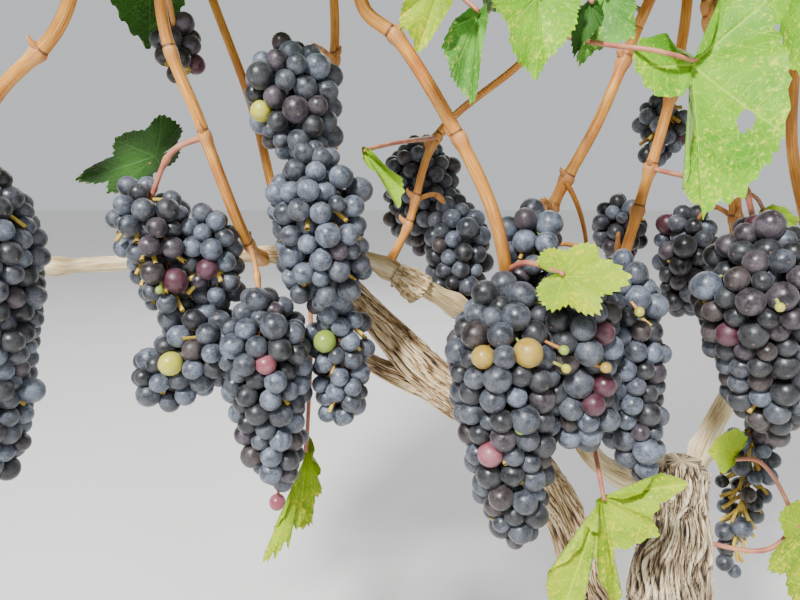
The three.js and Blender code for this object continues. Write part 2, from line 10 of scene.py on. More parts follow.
# %% Frame
import math
from functools import partial
import bpy
import numpy as np
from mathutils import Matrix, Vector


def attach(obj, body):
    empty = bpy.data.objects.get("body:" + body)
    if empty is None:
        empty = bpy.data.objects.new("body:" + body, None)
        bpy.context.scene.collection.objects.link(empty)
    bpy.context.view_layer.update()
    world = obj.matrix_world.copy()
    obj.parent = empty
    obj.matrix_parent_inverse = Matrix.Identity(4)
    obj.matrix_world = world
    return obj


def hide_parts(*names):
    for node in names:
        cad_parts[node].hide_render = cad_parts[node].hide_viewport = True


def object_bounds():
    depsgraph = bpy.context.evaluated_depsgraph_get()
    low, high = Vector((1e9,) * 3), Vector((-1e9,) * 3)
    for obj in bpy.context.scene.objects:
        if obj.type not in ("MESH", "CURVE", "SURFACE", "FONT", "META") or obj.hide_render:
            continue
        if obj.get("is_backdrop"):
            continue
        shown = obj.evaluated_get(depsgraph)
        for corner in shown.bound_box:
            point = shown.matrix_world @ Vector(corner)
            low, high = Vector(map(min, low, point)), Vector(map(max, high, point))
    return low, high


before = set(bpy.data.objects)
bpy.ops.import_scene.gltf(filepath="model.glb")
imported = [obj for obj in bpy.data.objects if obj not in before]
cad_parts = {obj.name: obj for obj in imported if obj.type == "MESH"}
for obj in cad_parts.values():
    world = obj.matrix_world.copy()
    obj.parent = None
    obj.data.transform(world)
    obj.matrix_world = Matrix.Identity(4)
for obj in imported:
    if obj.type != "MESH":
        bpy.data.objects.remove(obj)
cad_box = [list(corner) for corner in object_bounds()]
MM = 0.001
print("CAD box", np.round(cad_box, 3).tolist(), "nodes", len(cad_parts))

# %% [markdown]
# ## Camera, floor and light
#
# The photograph is taken from close by, half a metre in front of the fruit and a little
# above it. The lens angle follows from the size of the ripe berries at their depth. A pale
# floor and a pale backdrop of the same tone leave the outline of the plant clear. One lamp
# stands in for the high sun, and two weak ones keep the other sides from falling into black.

# %% Camera, floor and light
scene = bpy.context.scene
camera = bpy.data.objects.new("camera", bpy.data.cameras.new("camera"))
scene.collection.objects.link(camera)
scene.camera = camera
camera.location = (-0.190, -0.450, 0.620)
camera.rotation_euler = (math.radians(81), 0, 0)
camera.data.sensor_width = 36
camera.data.lens = 29.34
camera.data.clip_start = 0.01


def soft_lamp(name, place, aim, size, watts):
    """A square lamp at place that looks at aim: it tips by the slope of its way there, and
    turns by the way's bearing."""
    lamp = bpy.data.objects.new(name, bpy.data.lights.new(name, "AREA"))
    scene.collection.objects.link(lamp)
    lamp.data.size = size
    lamp.data.energy = watts
    lamp.location = place
    x, y, z = (b - a for a, b in zip(place, aim))
    lamp.rotation_euler = (math.pi / 2 + math.atan2(z, math.hypot(x, y)), 0, math.atan2(-x, y))


soft_lamp("high_sun", (-1.3, -2.3, 2.9), (-0.1, 0, 0.6), 0.4, 290)
soft_lamp("right_fill", (2.6, -1.6, 1.6), (0, 0, 0.8), 2.4, 12)
soft_lamp("back_fill", (0.6, 3.0, 2.6), (0, 0, 0.9), 2.4, 45)

world = bpy.data.worlds.new("pale_backdrop")
scene.world = world
world.use_nodes = True
backdrop = world.node_tree.nodes["Background"].inputs
backdrop["Color"].default_value = (0.93, 0.95, 0.98, 1)
backdrop["Strength"].default_value = 0.70

# %% [markdown]
# ## Materials by small steps
#
# Every finish is a small graph: patterns made from the piece's own coordinates, turned into
# a colour, a roughness and a bump. A helper that makes one node, sets what is a number and
# links what is a socket keeps each finish down to a few lines.


# %% Helpers for materials
def linear(colour):
    """A colour written as in a paint chart, #rrggbb, in the linear values that Blender mixes."""
    values = [int(colour[i:i + 2], 16) / 255 for i in (1, 3, 5)]
    return (*[v / 12.92 if v <= 0.04045 else ((v + 0.055) / 1.055) ** 2.4 for v in values], 1.0)


def new_material(name, roughness=0.6):
    """A material, its shader and a function that adds nodes to it."""
    material = bpy.data.materials.new(name)
    material.use_nodes = True
    tree = material.node_tree
    shader = tree.nodes["Principled BSDF"]
    shader.inputs["Roughness"].default_value = roughness

    def add(kind, settings=None, **inputs):
        """A node with these settings. An input goes by its name, or by its number after _."""
        node = tree.nodes.new("ShaderNode" + kind)
        for key, value in (settings or {}).items():
            setattr(node, key, value)
        for key, value in inputs.items():
            socket = node.inputs[int(key[1:])] if key[0] == "_" else node.inputs[key.replace("_", " ")]
            if isinstance(value, bpy.types.NodeSocket):
                tree.links.new(value, socket)
            else:
                socket.default_value = value
        return node

    return material, shader, add, tree.links.new


def ramp(add, factor, stops):
    """A colour that runs through the stops, each a place from 0 to 1 and a colour."""
    node = add("ValToRGB", Fac=factor)
    elements = node.color_ramp.elements
    while len(elements) < len(stops):
        elements.new(0.5)
    for element, (place, colour) in zip(elements, stops):
        element.position = place
        element.color = linear(colour)
    return node.outputs["Color"]


def blend(add, factor, first, second):
    """First where the factor is 0 and second where it is 1."""
    first, second = (linear(value) if isinstance(value, str) else value for value in (first, second))
    return add("Mix", {"data_type": "RGBA"}, _0=factor, _6=first, _7=second).outputs[2]


def band(add, value, low, high, to_low=0.0, to_high=1.0):
    """The value carried from low..high to to_low..to_high, and held there beyond."""
    node = add("MapRange", _0=value, _1=low, _2=high, _3=to_low, _4=to_high)
    return node.outputs[0]


def calc(add, operation, *values):
    """One sum of a graph: the operation on numbers or sockets."""
    sockets = {f"_{k}": value for k, value in enumerate(values)}
    return add("Math", {"operation": operation}, **sockets).outputs[0]


def sums(add):
    """The commonest sums of a graph: plus, minus and times."""
    return [partial(calc, add, operation) for operation in ("ADD", "SUBTRACT", "MULTIPLY")]


print("warm white in Blender's own values", np.round(linear("#f6eed6"), 3))

# %% [markdown]
# ## What a finish reads
#
# A pattern starts from the place on the plant, from the piece's own map where it has to
# follow the surface, or from the mark that the mesh keeps at each point.


# %% Patterns
def speckle(add, vector, scale, detail=2.0, distortion=0.0):
    """Cloudy noise round 0.5, with as many clouds to a metre as the scale says."""
    noise = add("TexNoise", Vector=vector, Scale=scale, Detail=detail, Distortion=distortion)
    return noise.outputs["Fac"]


def object_place(add):
    """The place on the plant in metres, the same for every piece."""
    return add("TexCoord").outputs["Object"]


def point_mark(add):
    """The mark that the mesh keeps at each point."""
    return add("Attribute", {"attribute_name": "mark"}).outputs["Fac"]


def own_chart(add):
    """The piece's own map."""
    return add("UVMap", {"uv_map": "own_map"}).outputs["UV"]


def set_bump(add, link, shader, height, strength, distance):
    """A relief too fine for the mesh: the height times the distance, in metres."""
    bump = add("Bump", Strength=strength, Distance=distance, Height=height)
    link(bump.outputs["Normal"], shader.inputs["Normal"])


def speckled(name, roughness, scale, stops):
    """A plain finish: cloudy noise that runs through a few colours."""
    material, shader, add, link = new_material(name, roughness)
    link(ramp(add, speckle(add, object_place(add), scale), stops), shader.inputs["Base Color"])
    return material


# %% [markdown]
# ## Floor
#
# The floor is one wide plate of pale plaster. It isn't part of the plant.

# %% Floor
FLOOR_HALF = 30                # metres, so that the rim of the floor never shows
plaster, shader, add, link = new_material("pale_plaster", 0.9)
grain = speckle(add, object_place(add), 3.0, 5.0)
link(ramp(add, grain, [(0.3, "#e9e8e5"), (0.7, "#efeeec")]), shader.inputs["Base Color"])
floor_mesh = bpy.data.meshes.new("floor")
corners = [(x * FLOOR_HALF, y * FLOOR_HALF, 0) for x, y in ((-1, -1), (1, -1), (1, 1), (-1, 1))]
floor_mesh.from_pydata(corners, [], [(0, 1, 2, 3)])
floor_mesh.materials.append(plaster)
floor = bpy.data.objects.new("floor", floor_mesh)
scene.collection.objects.link(floor)
floor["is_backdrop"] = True
print("floor", tuple(round(side, 1) for side in floor.dimensions))

# %% [markdown]
# ## Meshes from arrays
#
# A shape here is a bundle of arrays: points, four-sided and three-sided faces, the place of
# each face's corners on the piece's own map, the finish of each face, and one number a point
# that a finish can read. Shapes are joined by stacking the arrays, and only a whole piece
# becomes a Blender object.

# %% Shapes
class Shape:
    """points n by 3, quads q by 4, tris t by 3, their corner maps and finishes, a mark a point."""

    def __init__(self, points, quads=(), tris=(), quad_map=None, tri_map=None, finish=0, mark=0.0):
        self.points = np.asarray(points, float).reshape(-1, 3)
        self.quads = np.asarray(quads, int).reshape(-1, 4)
        self.tris = np.asarray(tris, int).reshape(-1, 3)
        self.quad_map = np.zeros((len(self.quads), 4, 2)) if quad_map is None else quad_map
        self.tri_map = np.zeros((len(self.tris), 3, 2)) if tri_map is None else tri_map
        self.quad_finish = np.resize(finish, len(self.quads))
        self.tri_finish = np.resize(finish, len(self.tris))
        self.mark = np.resize(mark, len(self.points)).astype(float)


def stacked(shapes):
    """One shape of many: each one's face numbers go up by the points before it."""
    shapes = list(shapes)
    starts = np.cumsum([0] + [len(shape.points) for shape in shapes])[:-1]
    whole = Shape(np.concatenate([shape.points for shape in shapes]))
    whole.quads = np.concatenate([shape.quads + start for shape, start in zip(shapes, starts)])
    whole.tris = np.concatenate([shape.tris + start for shape, start in zip(shapes, starts)])
    for key in ("quad_map", "tri_map", "quad_finish", "tri_finish", "mark"):
        setattr(whole, key, np.concatenate([getattr(shape, key) for shape in shapes]))
    return whole


made = {}


def piece(name, shape, finishes, replaced):
    """A Blender object at the origin whose mesh holds the shape in metres, riding on the root."""
    mesh = bpy.data.meshes.new(name)
    mesh.from_pydata(shape.points * MM, [], shape.quads.tolist() + shape.tris.tolist())
    for finish in finishes:
        mesh.materials.append(finish)
    mesh.polygons.foreach_set("use_smooth", np.ones(len(mesh.polygons), bool))
    mesh.polygons.foreach_set(
        "material_index", np.concatenate([shape.quad_finish, shape.tri_finish]).astype(np.int32))
    own_map = np.concatenate([shape.quad_map.reshape(-1, 2), shape.tri_map.reshape(-1, 2)])
    mesh.uv_layers.new(name="own_map").data.foreach_set("uv", own_map.astype(np.float32).ravel())
    mesh.attributes.new("mark", "FLOAT", "POINT").data.foreach_set("value", shape.mark.astype(np.float32))
    mesh.update()
    thing = bpy.data.objects.new(name, mesh)
    scene.collection.objects.link(thing)
    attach(thing, "root")
    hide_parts(*replaced)
    made[name] = 2 * len(shape.quads) + len(shape.tris)
    print(name, made[name], "triangles")


# %% [markdown]
# ## Routes
#
# Limbs follow smooth curves through a few measured points. Each stretch is a cubic whose
# slopes come from the neighbouring points, weighted so that it never loops between close
# ones, the same as in the solids.


# %% Routes
def route(points, shares):
    """The curve at each share of its way: between two points it is the cubic whose slopes
    come from the neighbours, each weighted by the root of its distance."""
    p = np.asarray(points, float)
    p = np.vstack([2 * p[0] - p[1], p, 2 * p[-1] - p[-2]])
    at = np.clip(np.atleast_1d(shares), 0, 1) * (len(points) - 1)
    i = np.minimum(at.astype(int), len(points) - 2)
    w = (at - i)[:, None]
    x0, x1, x2, x3 = p[i], p[i + 1], p[i + 2], p[i + 3]
    spans = ((x0, x1), (x1, x2), (x2, x3))
    d0, d1, d2 = [np.sqrt(np.linalg.norm(b - a, axis=1))[:, None] for a, b in spans]
    m1 = ((x1 - x0) / d0 - (x2 - x0) / (d0 + d1) + (x2 - x1) / d1) * d1
    m2 = ((x2 - x1) / d1 - (x3 - x1) / (d1 + d2) + (x3 - x2) / d2) * d1
    return x1 + m1 * w + (3 * (x2 - x1) - 2 * m1 - m2) * w ** 2 + (2 * (x1 - x2) + m1 + m2) * w ** 3


def even_route(points, step, start=0.0, end=1.0):
    """Places at even steps of length from one share of the route to another: the places,
    their shares and their lengths from the start."""
    fine = np.linspace(start, end, 1500)
    pieces = np.linalg.norm(np.diff(route(points, fine), axis=0), axis=1)
    lengths = np.concatenate([[0], np.cumsum(pieces)])
    count = max(2, int(round(lengths[-1] / step)) + 1)
    along = np.linspace(0, lengths[-1], count)
    shares = np.interp(along, lengths, fine)
    return route(points, shares), shares, along


def unit(vectors):
    """Each vector divided by its length."""
    return vectors / np.maximum(np.linalg.norm(vectors, axis=-1, keepdims=True), 1e-9)


test_route = [[0, 0, 0], [10, 0, 0], [10, 10, 0]]
print("half way round a bend", np.round(route(test_route, [0.5])[0], 2))

# %% [markdown]
# ## Skins round a route
#
# A limb is a row of rings, joined by quads and closed at both ends. A fixed direction across
# the limb, square to most of its way, keeps the rings from twisting. Thousands of thin stalks
# are made the same way in one go, with one more dimension in the arrays.


# %% Tubes
def ring_angles(sides):
    """Even angles round a ring, from 0."""
    return np.arange(sides) * 2 * np.pi / sides


def grid_faces(rows, columns, wrap=True):
    """Quads of a grid of rows by columns of points, closed round each row if it wraps."""
    i, j = np.meshgrid(np.arange(rows - 1), np.arange(columns if wrap else columns - 1), indexing="ij")
    k = (j + 1) % columns
    return np.stack([i * columns + j, (i + 1) * columns + j, (i + 1) * columns + k, i * columns + k], -1)


def tube(centres, along, radii, finish=0, mark=0.0):
    """A closed skin round a row of centres: the point of ring i at angle a lies radii[i, a]
    from the centre, square to the way. Its own map has the length round it and along it."""
    rows, sides = radii.shape
    tangent = unit(np.gradient(centres, axis=0))
    chord = np.abs(centres[-1] - centres[0])
    across = np.eye(3)[np.argmin(chord)]
    u = unit(np.cross(tangent, across))
    v = np.cross(u, tangent)
    angle = ring_angles(sides)
    ring = u[:, None] * np.cos(angle)[None, :, None] + v[:, None] * np.sin(angle)[None, :, None]
    points = centres[:, None] + ring * radii[..., None]
    quads = grid_faces(rows, sides)
    round_it = np.arange(sides + 1) / sides * radii.mean() * 2 * np.pi
    chart = np.stack(np.meshgrid(round_it * MM, along * MM), -1).reshape(-1, 2)
    corners = chart[grid_faces(rows, sides + 1, wrap=False)]
    ends = np.stack([centres[0], centres[-1]])
    k, last_ring = np.arange(sides), (rows - 1) * sides
    foot = np.stack([np.full(sides, rows * sides), k, (k + 1) % sides], 1)
    head = np.stack([np.full(sides, rows * sides + 1), last_ring + (k + 1) % sides, last_ring + k], 1)
    tri_map = np.zeros((2 * sides, 3, 2))
    tri_map[sides:, :, 1] = along[-1] * MM
    marks = np.broadcast_to(mark, (rows, sides))
    marks = np.concatenate([marks.ravel(), [marks[0].mean(), marks[-1].mean()]])
    return Shape(np.concatenate([points.reshape(-1, 3), ends]), quads.reshape(-1, 4),
                 np.concatenate([foot, head]), corners.reshape(-1, 4, 2), tri_map, finish, marks)


def stalk_tube(points, first, last, finish, sides=8, step=2.5):
    """A round stalk along a route, whose radius goes evenly from first to last."""
    centres, _, along = even_route(points, step)
    radii = np.repeat(np.linspace(first, last, len(along))[:, None], sides, 1)
    return tube(centres, along, radii, finish=finish)


def many_tubes(starts, ends, bows, first, last, sides=4, steps=3, finish=0, mark=0.0):
    """Thin stalks, all at once: each runs from its start to its end and is bowed by a hump
    of its bow vector, widest at mid length, while its radius goes from first to last."""
    starts, ends, bows = (np.asarray(a, float).reshape(-1, 3) for a in (starts, ends, bows))
    count = len(starts)
    t = np.linspace(0, 1, steps + 1)
    way = (starts[:, None] + (ends - starts)[:, None] * t[None, :, None]
           + bows[:, None] * (4 * t * (1 - t))[None, :, None])
    tangent = unit(np.gradient(way, axis=1))
    side = np.where(np.abs(tangent[..., 2:3]) > 0.8, [[[1.0, 0, 0]]], [[[0, 0, 1.0]]])
    u = unit(np.cross(tangent, side))
    v = np.cross(u, tangent)
    angle = ring_angles(sides)
    first, last = (np.broadcast_to(radius, count)[:, None] for radius in (first, last))
    radius = first * (1 - t) + last * t
    ring = u[:, :, None] * np.cos(angle)[:, None] + v[:, :, None] * np.sin(angle)[:, None]
    points = way[:, :, None] + ring * radius[:, :, None, None]
    faces = grid_faces(steps + 1, sides).reshape(-1, 4)
    if sides == 4:
        top = steps * sides
        faces = np.concatenate([faces, [[0, 1, 2, 3], [top + 3, top + 2, top + 1, top]]])
    quads = (np.arange(count)[:, None, None] * (steps + 1) * sides + faces[None]).reshape(-1, 4)
    marks = np.broadcast_to(np.asarray(mark, float).reshape(-1, 1), (count, (steps + 1) * sides))
    return Shape(points.reshape(-1, 3), quads, finish=finish, mark=marks)


print("points of a short stalk", len(stalk_tube(test_route, 2, 1, 0).points))

# %% [markdown]
# ## Noise on a limb
#
# Bark needs noise that closes round the limb. Both kinds here are worked out on a lattice of
# cells round and along it, and the cells round it are counted modulo their number. The first
# is smooth between the lattice's corners. The second finds the nearest and second nearest
# of one point a cell, which splits the bark into long plates with cracks between.


# %% Noise
def lattice(i, j, seed):
    """An even number from 0 to 1 for each lattice corner, by mixing its bits."""
    h = (i.astype(np.int64) * 374761393 + j.astype(np.int64) * 668265263 + seed * 974634777) & 0xFFFFFFFF
    h = ((h ^ (h >> 13)) * 1274126177) & 0xFFFFFFFF
    h = ((h ^ (h >> 15)) * 2246822519) & 0xFFFFFFFF
    return ((h ^ (h >> 16)) & 0xFFFFFF) / 0x1000000


def smooth_noise(a, s, cells, seed):
    """Lattice numbers blended by the smooth step between the four corners round a place. It
    lies at a round the limb, counted in cells, and at s along it."""
    i, j = np.floor(a).astype(int), np.floor(s).astype(int)
    x, y = a - i, s - j
    x, y = x * x * (3 - 2 * x), y * y * (3 - 2 * y)
    corner = [[lattice((i + di) % cells, j + dj, seed) for dj in (0, 1)] for di in (0, 1)]
    near = corner[0][0] * (1 - y) + corner[0][1] * y
    far = corner[1][0] * (1 - y) + corner[1][1] * y
    return near * (1 - x) + far * x


PLATE_REACH = 0.55             # a step along the limb counts this much, against 1 round it


def plates(a, s, cells, seed):
    """Distance from the nearest to the second nearest cell point, that cell's own number,
    and how far along the cell the place lies."""
    base_i, base_j = np.floor(a).astype(int), np.floor(s).astype(int)
    nearest = np.full(a.shape, 9.0)
    second = nearest.copy()
    own, beyond = np.zeros(a.shape), np.zeros(a.shape)
    for di in (-1, 0, 1):
        for dj in (-1, 0, 1):
            i, j = base_i + di, base_j + dj
            da = a - (i + 0.1 + 0.8 * lattice(i % cells, j, seed))
            ds = s - (j + 0.1 + 0.8 * lattice(i % cells, j, seed + 1))
            distance = np.hypot(da, ds * PLATE_REACH)
            closer = distance < nearest
            second = np.where(closer, nearest, np.minimum(second, distance))
            own = np.where(closer, lattice(i % cells, j, seed + 2), own)
            beyond = np.where(closer, ds, beyond)
            nearest = np.where(closer, distance, nearest)
    return second - nearest, own, beyond


def step_up(x, low, high):
    """0 up to low, 1 from high on, and the smooth step between them."""
    x = np.clip((x - low) / (high - low), 0, 1)
    return x * x * (3 - 2 * x)


print("smooth noise between two cells", smooth_noise(np.array([0.5]), np.array([0.5]), 7, 3).round(3))

# %% [markdown]
# ## Old wood: bark that peels
#
# Old vine bark is a felt of long grey strips. They split away from each other, lift at their
# lower ends and leave dark cracks, and the wood under them is knotty. So the radius gets five
# parts: the limb's own form from the solids, slow gnarls, plates with lifted ends, splinters
# and fine fibres. The lightness that goes with them, kept as the mark of each point, later
# darkens the cracks: partly the darker bark in them, partly painted shade.


# %% Bark relief
def bark(angle, along, girth, seed, strip, length, depth):
    """Height of the bark in mm and its lightness from 0 to 1, at an angle and a length. Both
    are sums of the same parts: plates as wide as a strip and as long as length, splinters
    half as wide and a third as long, fibres six to a strip, and for the height slow gnarls
    and the lift of a plate's lower end. The whole wanders round the limb on its way up."""
    wander = 0.22 * np.sin(along / 47 + seed) + 0.12 * np.sin(along / 19 + 2 * seed)
    wander = wander + 0.55 * (smooth_noise(angle / (2 * np.pi) * 7, along / 24, 7, seed + 3) - 0.5)
    cells = max(6, int(round(girth / strip)))
    turn = ((angle + wander) / (2 * np.pi)) % 1
    edge, own, beyond = plates(turn * cells, along / length, cells, seed)
    plate = step_up(edge, 0.02, 0.26)
    thin_edge, thin_own, _ = plates(turn * cells * 2, along / (length * 0.32) + 3, cells * 2, seed + 20)
    splinter = step_up(thin_edge, 0.0, 0.3)
    fibre = smooth_noise(turn * cells * 6, along / 26, cells * 6, seed + 7)
    gnarl = smooth_noise(turn * 5, along / 34, 5, seed + 11) - 0.5
    lift = np.clip(-beyond, 0, 0.6) * (own > 0.45) * 2.6
    height = depth * (plate * (0.5 + 1.7 * own + lift) + 0.7 * splinter * (0.4 + thin_own) + 0.45 * fibre
                      + 3.0 * gnarl - 1.6)
    # lightness follows the relief, so the cracks come out dark: partly darker bark, partly painted shade
    light = plate * (0.22 + 0.34 * own) + 0.26 * splinter * (0.3 + thin_own) + 0.20 * fibre
    return height, np.clip(light, 0, 1)


TRUNK_RADIUS, HEAD_HEIGHT = 29, 400
ROOT_FLARE, FLARE_HEIGHT = 17, 45      # extra radius at the foot, and over what height it dies away
NECKING = 7                            # the trunk is this much slimmer under its head
KNOB_BEAT, SPUR_BEAT, LEG_BEAT = 4, 5, 6       # how fast the knots wind along a limb
LEG_RADIUS, UPPER_STUB_RADIUS, LOWER_STUB_RADIUS = (17, 13), (14, 8.5), (11, 3)
TRUNK = [[0, 0, 0], [0, 0, 70], [6, 1, 180], [11, 0, 300], [13, 0, 385], [13, 0, 426]]
KNOBS = [([[12, -2, 392], [11, -10, 418], [9, -13, 436]], (15, 10.5)),
         ([[18, 8, 392], [24, 12, 414], [28, 14, 428]], (12, 8.5))]
LEFT_LEG = [[6, 2, 205], [-22, 8, 265], [-46, 10, 325], [-77, 5, 405], [-118, 0, 454], [-163, 0, 486]]
UPPER_STUB = [[-150, 0, 478], [-178, 0, 504], [-203, 0, 532], [-226, -2, 559]]
LOWER_STUB = [[-148, 0, 476], [-180, 4, 489], [-207, 3, 502], [-236, 1, 522]]


def trunk_radius(share, angle):
    """The solid's trunk: a slow taper with three and five ribs, the root flare that dies
    away with height, and the slimmer neck under the head."""
    height = share * HEAD_HEIGHT
    flare = ROOT_FLARE * np.exp(-height / FLARE_HEIGHT) * (1 + 0.3 * np.sin(3 * angle + 1))
    neck = NECKING * step_up(share, 0.66, 0.84)
    ribs = 1 + 0.07 * np.sin(3 * angle + 3 * share) + 0.04 * np.sin(5 * angle - 6 * share)
    return TRUNK_RADIUS * ribs * (1 - 0.1 * share) + flare - neck


def knotty(radii, beat):
    """A taper from the first radius to the last, with knots that wind round the limb."""
    return lambda share, angle: (radii[0] + (radii[1] - radii[0]) * share) * (
        1 + 0.09 * np.sin(2 * angle + beat * share) + 0.05 * np.sin(3 * angle - beat * share))


def bark_limb(points, radius, sides, step, seed, **looks):
    """A limb with bark: its form's radius plus the bark's height."""
    centres, shares, along = even_route(points, step)
    angle_grid, share_grid = np.meshgrid(ring_angles(sides), shares)
    along_grid = np.broadcast_to(along[:, None], angle_grid.shape)
    form = radius(share_grid, angle_grid)
    height, light = bark(angle_grid, along_grid, 2 * np.pi * form.mean(), seed, **looks)
    return tube(centres, along, np.maximum(form + height, 1.0), mark=light)


test_height, _ = bark(np.zeros(3), np.array([0, 20, 40]), 180, 3, strip=4.4, length=40, depth=1.05)
print("bark height at three places, mm", test_height.round(2))

# %% [markdown]
# ## The bark's finish
#
# The mark of each point runs from 0 in a crack to 1 on a bleached strip. It sets the colour
# from near black over brown to straw grey, broken up by noise drawn out along the fibres, and
# the same noise gives the bump that is too fine for the mesh. The near black in the cracks is
# partly the darker bark there and partly painted shade.

# %% Bark finish
def fibres(add, round_scale, along_scale, detail=4.0):
    """Noise on the piece's own map, stretched along the limb: so many waves to a metre round
    it, and far fewer along it."""
    scale = (round_scale, along_scale, 1)
    drawn_out = add("Mapping", Vector=own_chart(add), Scale=scale).outputs["Vector"]
    return speckle(add, drawn_out, 1.0, detail, 0.6)


def bark_finish(name, stops, roughness=0.92):
    """The mark, plus or minus fine fibres and broad patches, runs through the stops."""
    material, shader, add, link = new_material(name, roughness)
    fine = fibres(add, 1300, 70)
    patch = speckle(add, object_place(add), 26, 4.0)
    plus, _, _ = sums(add)
    light = plus(point_mark(add), band(add, fine, 0.3, 0.7, -0.30, 0.30))
    light = plus(light, band(add, patch, 0.3, 0.7, -0.10, 0.10))
    link(ramp(add, light, stops), shader.inputs["Base Color"])
    set_bump(add, link, shader, fine, 0.7, 0.0009)
    return material


# the dark end of these ramps falls in the cracks: partly darker bark, partly painted shade
old_bark = bark_finish("old_bark", [
    (0.0, "#0d0906"), (0.15, "#2e2317"), (0.32, "#715d45"),
    (0.52, "#ad9a7a"), (0.74, "#d8caa8"), (1.0, "#f6eed6")])
arm_bark = bark_finish("arm_bark", [
    (0.0, "#1c130c"), (0.15, "#553e28"), (0.33, "#967854"),
    (0.54, "#c2a77e"), (0.76, "#dec9a2"), (1.0, "#f4e7cb")])
print("bark finishes", old_bark.name, arm_bark.name)

# %% [markdown]
# ## Trunk, arm and spurs
#
# The trunk widens at its foot and ends in a knobbed head, where many winters' cuts have
# healed. The old arm leaves it half way up and ends in two cut spurs. A skin of closely spaced
# rings carries the bark as true relief, which a bump map can't give where strips stand off
# the wood. Points below the floor are raised to it, and so give the trunk its flat foot.

# %% Trunk, arm and spurs
trunk_shapes = [bark_limb(TRUNK, trunk_radius, 240, 1.5, seed=3, strip=4.4, length=40, depth=1.05)]
for number, (points, radii) in enumerate(KNOBS):
    trunk_shapes.append(bark_limb(points, knotty(radii, KNOB_BEAT), 96, 1.1, seed=31 + number,
                                  strip=3.4, length=20, depth=0.75))
trunk_shape = stacked(trunk_shapes)
trunk_shape.points[:, 2] = np.maximum(trunk_shape.points[:, 2], 0.0)
piece("trunk_bark", trunk_shape, [old_bark], ["trunk"])
leg_shape = bark_limb(LEFT_LEG, knotty(LEG_RADIUS, LEG_BEAT), 132, 1.7, seed=5,
                      strip=3.2, length=46, depth=0.62)
piece("left_leg_bark", leg_shape, [arm_bark], ["left_leg"])
spurs = [bark_limb(UPPER_STUB, knotty(UPPER_STUB_RADIUS, SPUR_BEAT), 108, 1.4, seed=8,
                   strip=2.9, length=30, depth=0.52),
         bark_limb(LOWER_STUB, knotty(LOWER_STUB_RADIUS, SPUR_BEAT), 90, 1.4, seed=9,
                   strip=2.9, length=30, depth=0.46)]
piece("spur_bark", stacked(spurs), [arm_bark], ["upper_stub", "lower_stub"])

# %% [markdown]
# ## Canes and shoots
#
# Last year's canes are thin, straw grey and jointed. This year's shoots stand on them, orange
# where the sun has ripened them and green towards the tips. Both have the same build: a
# slow taper, and a swelling at each joint. The joints of a shoot are where its leaves and
# bunches sit. Each shoot lists its way up to the crown, its row, its station along the row,
# the heights of its first crown leaf and of its tip, and where it is thinner than the others,
# by how much.

# %% Measures of canes and shoots
FRONT, BACK = -1, 1
CANE_RADIUS = (8, 4.8)
LEFT_CANE = [[2, 10, 405], [-41, 11, 424], [-73, 10, 473], [-104, 6, 515], [-133, 5, 534],
             [-190, 5, 566], [-217, 5, 577], [-300, 5, 580], [-430, 3, 572], [-553, 0, 577]]
RIGHT_CANE = [[24, 14, 400], [44, 20, 446], [64, 20, 492], [80, 20, 546],
              [116, 20, 571], [220, 20, 575], [336, 20, 573]]
SHOOTS = [
    ([[-546, 0, 577], [-543, -14, 655], [-530, -40, 750]], FRONT, -495, 700, 1590),
    ([[-522, 0, 577], [-474, -40, 633], [-421, -60, 680], [-372, -70, 727]], FRONT, -378, 745, 1660),
    ([[-286, 4, 578], [-288, -32, 592], [-306, -60, 662], [-322, -70, 727]], FRONT, -264, 745, 1700, 0.88),
    ([[-268, 6, 581], [-279, 12, 625], [-293, 20, 682], [-320, 22, 759]], BACK, -405, 772, 1640, 0.8),
    ([[-240, 6, 580], [-239, 30, 632], [-238, 32, 688], [-236, 32, 755]], BACK, -272, 766, 1690, 0.86),
    ([[-116, 5, 522], [-122, -40, 564], [-139, -70, 618], [-190, -80, 703], [-211, -80, 724]],
     FRONT, -150, 728, 1680),
    ([[-200, 6, 570], [-185, 4, 599], [-164, 10, 662], [-109, 12, 709], [-83, 14, 737]],
     BACK, -140, 722, 1650, 0.68),
    ([[-104, 8, 515], [-89, 8, 600], [-56, 3, 671], [-27, 0, 747]], FRONT, 76, 690, 1700),
    ([[-62, 10, 456], [-43, 22, 523], [-20, 24, 605], [7, 24, 752]], BACK, -10, 764, 1670),
    ([[66, 20, 498], [46, 2, 549], [28, -20, 618], [-4, -32, 738]], FRONT, -38, 706, 1620),
    ([[112, 20, 570], [98, 40, 654], [95, 42, 717], [94, 42, 758]], BACK, 118, 768, 1700),
    ([[172, 20, 573], [170, -20, 640], [150, -50, 750]], FRONT, 190, 700, 1650),
    ([[244, 20, 575], [236, 44, 650], [220, 56, 750]], BACK, 246, 700, 1690),
    ([[328, 20, 573], [322, -16, 645], [300, -46, 750]], FRONT, 304, 700, 1600),
]
SHOOT_RADIUS = (4.1, 1.6)
ROW_DEPTH, STATION_HEIGHT = 62, 1000           # how far each row stands out, and from what height
CROWN_FLOOR, CROWN_TOP, CROWN_DEPTH = 752, 1755, 215
ROW_ENDS = (-618, 434)                         # no leaf reaches past these places along the row
STEM_SEED = 900
print("shoots", len(SHOOTS), "of them at the back", sum(shoot[1] == BACK for shoot in SHOOTS))

# %% [markdown]
# ## The way of a shoot
#
# Once in the crown, a shoot leans over to its station, and from there it drifts a little to
# one side. The drift comes from a stream of seeded numbers that is the same here as
# in the solids, so both stand in the same place. A table of all the ways at even heights
# tells later which shoot is nearest to a leaf.


# %% Ways of the shoots
def random_stream(seed):
    """Even numbers from 0 to 1, the same row as the source's stream of that seed."""
    state = seed & 0xFFFFFFFF

    def draw():
        nonlocal state
        state = (state + 0x6D2B79F5) & 0xFFFFFFFF
        mixed = ((state ^ (state >> 15)) * (state | 1)) & 0xFFFFFFFF
        mixed ^= (mixed + (((mixed ^ (mixed >> 7)) * (mixed | 61)) & 0xFFFFFFFF)) & 0xFFFFFFFF
        return (mixed ^ (mixed >> 14)) / 4294967296

    return draw


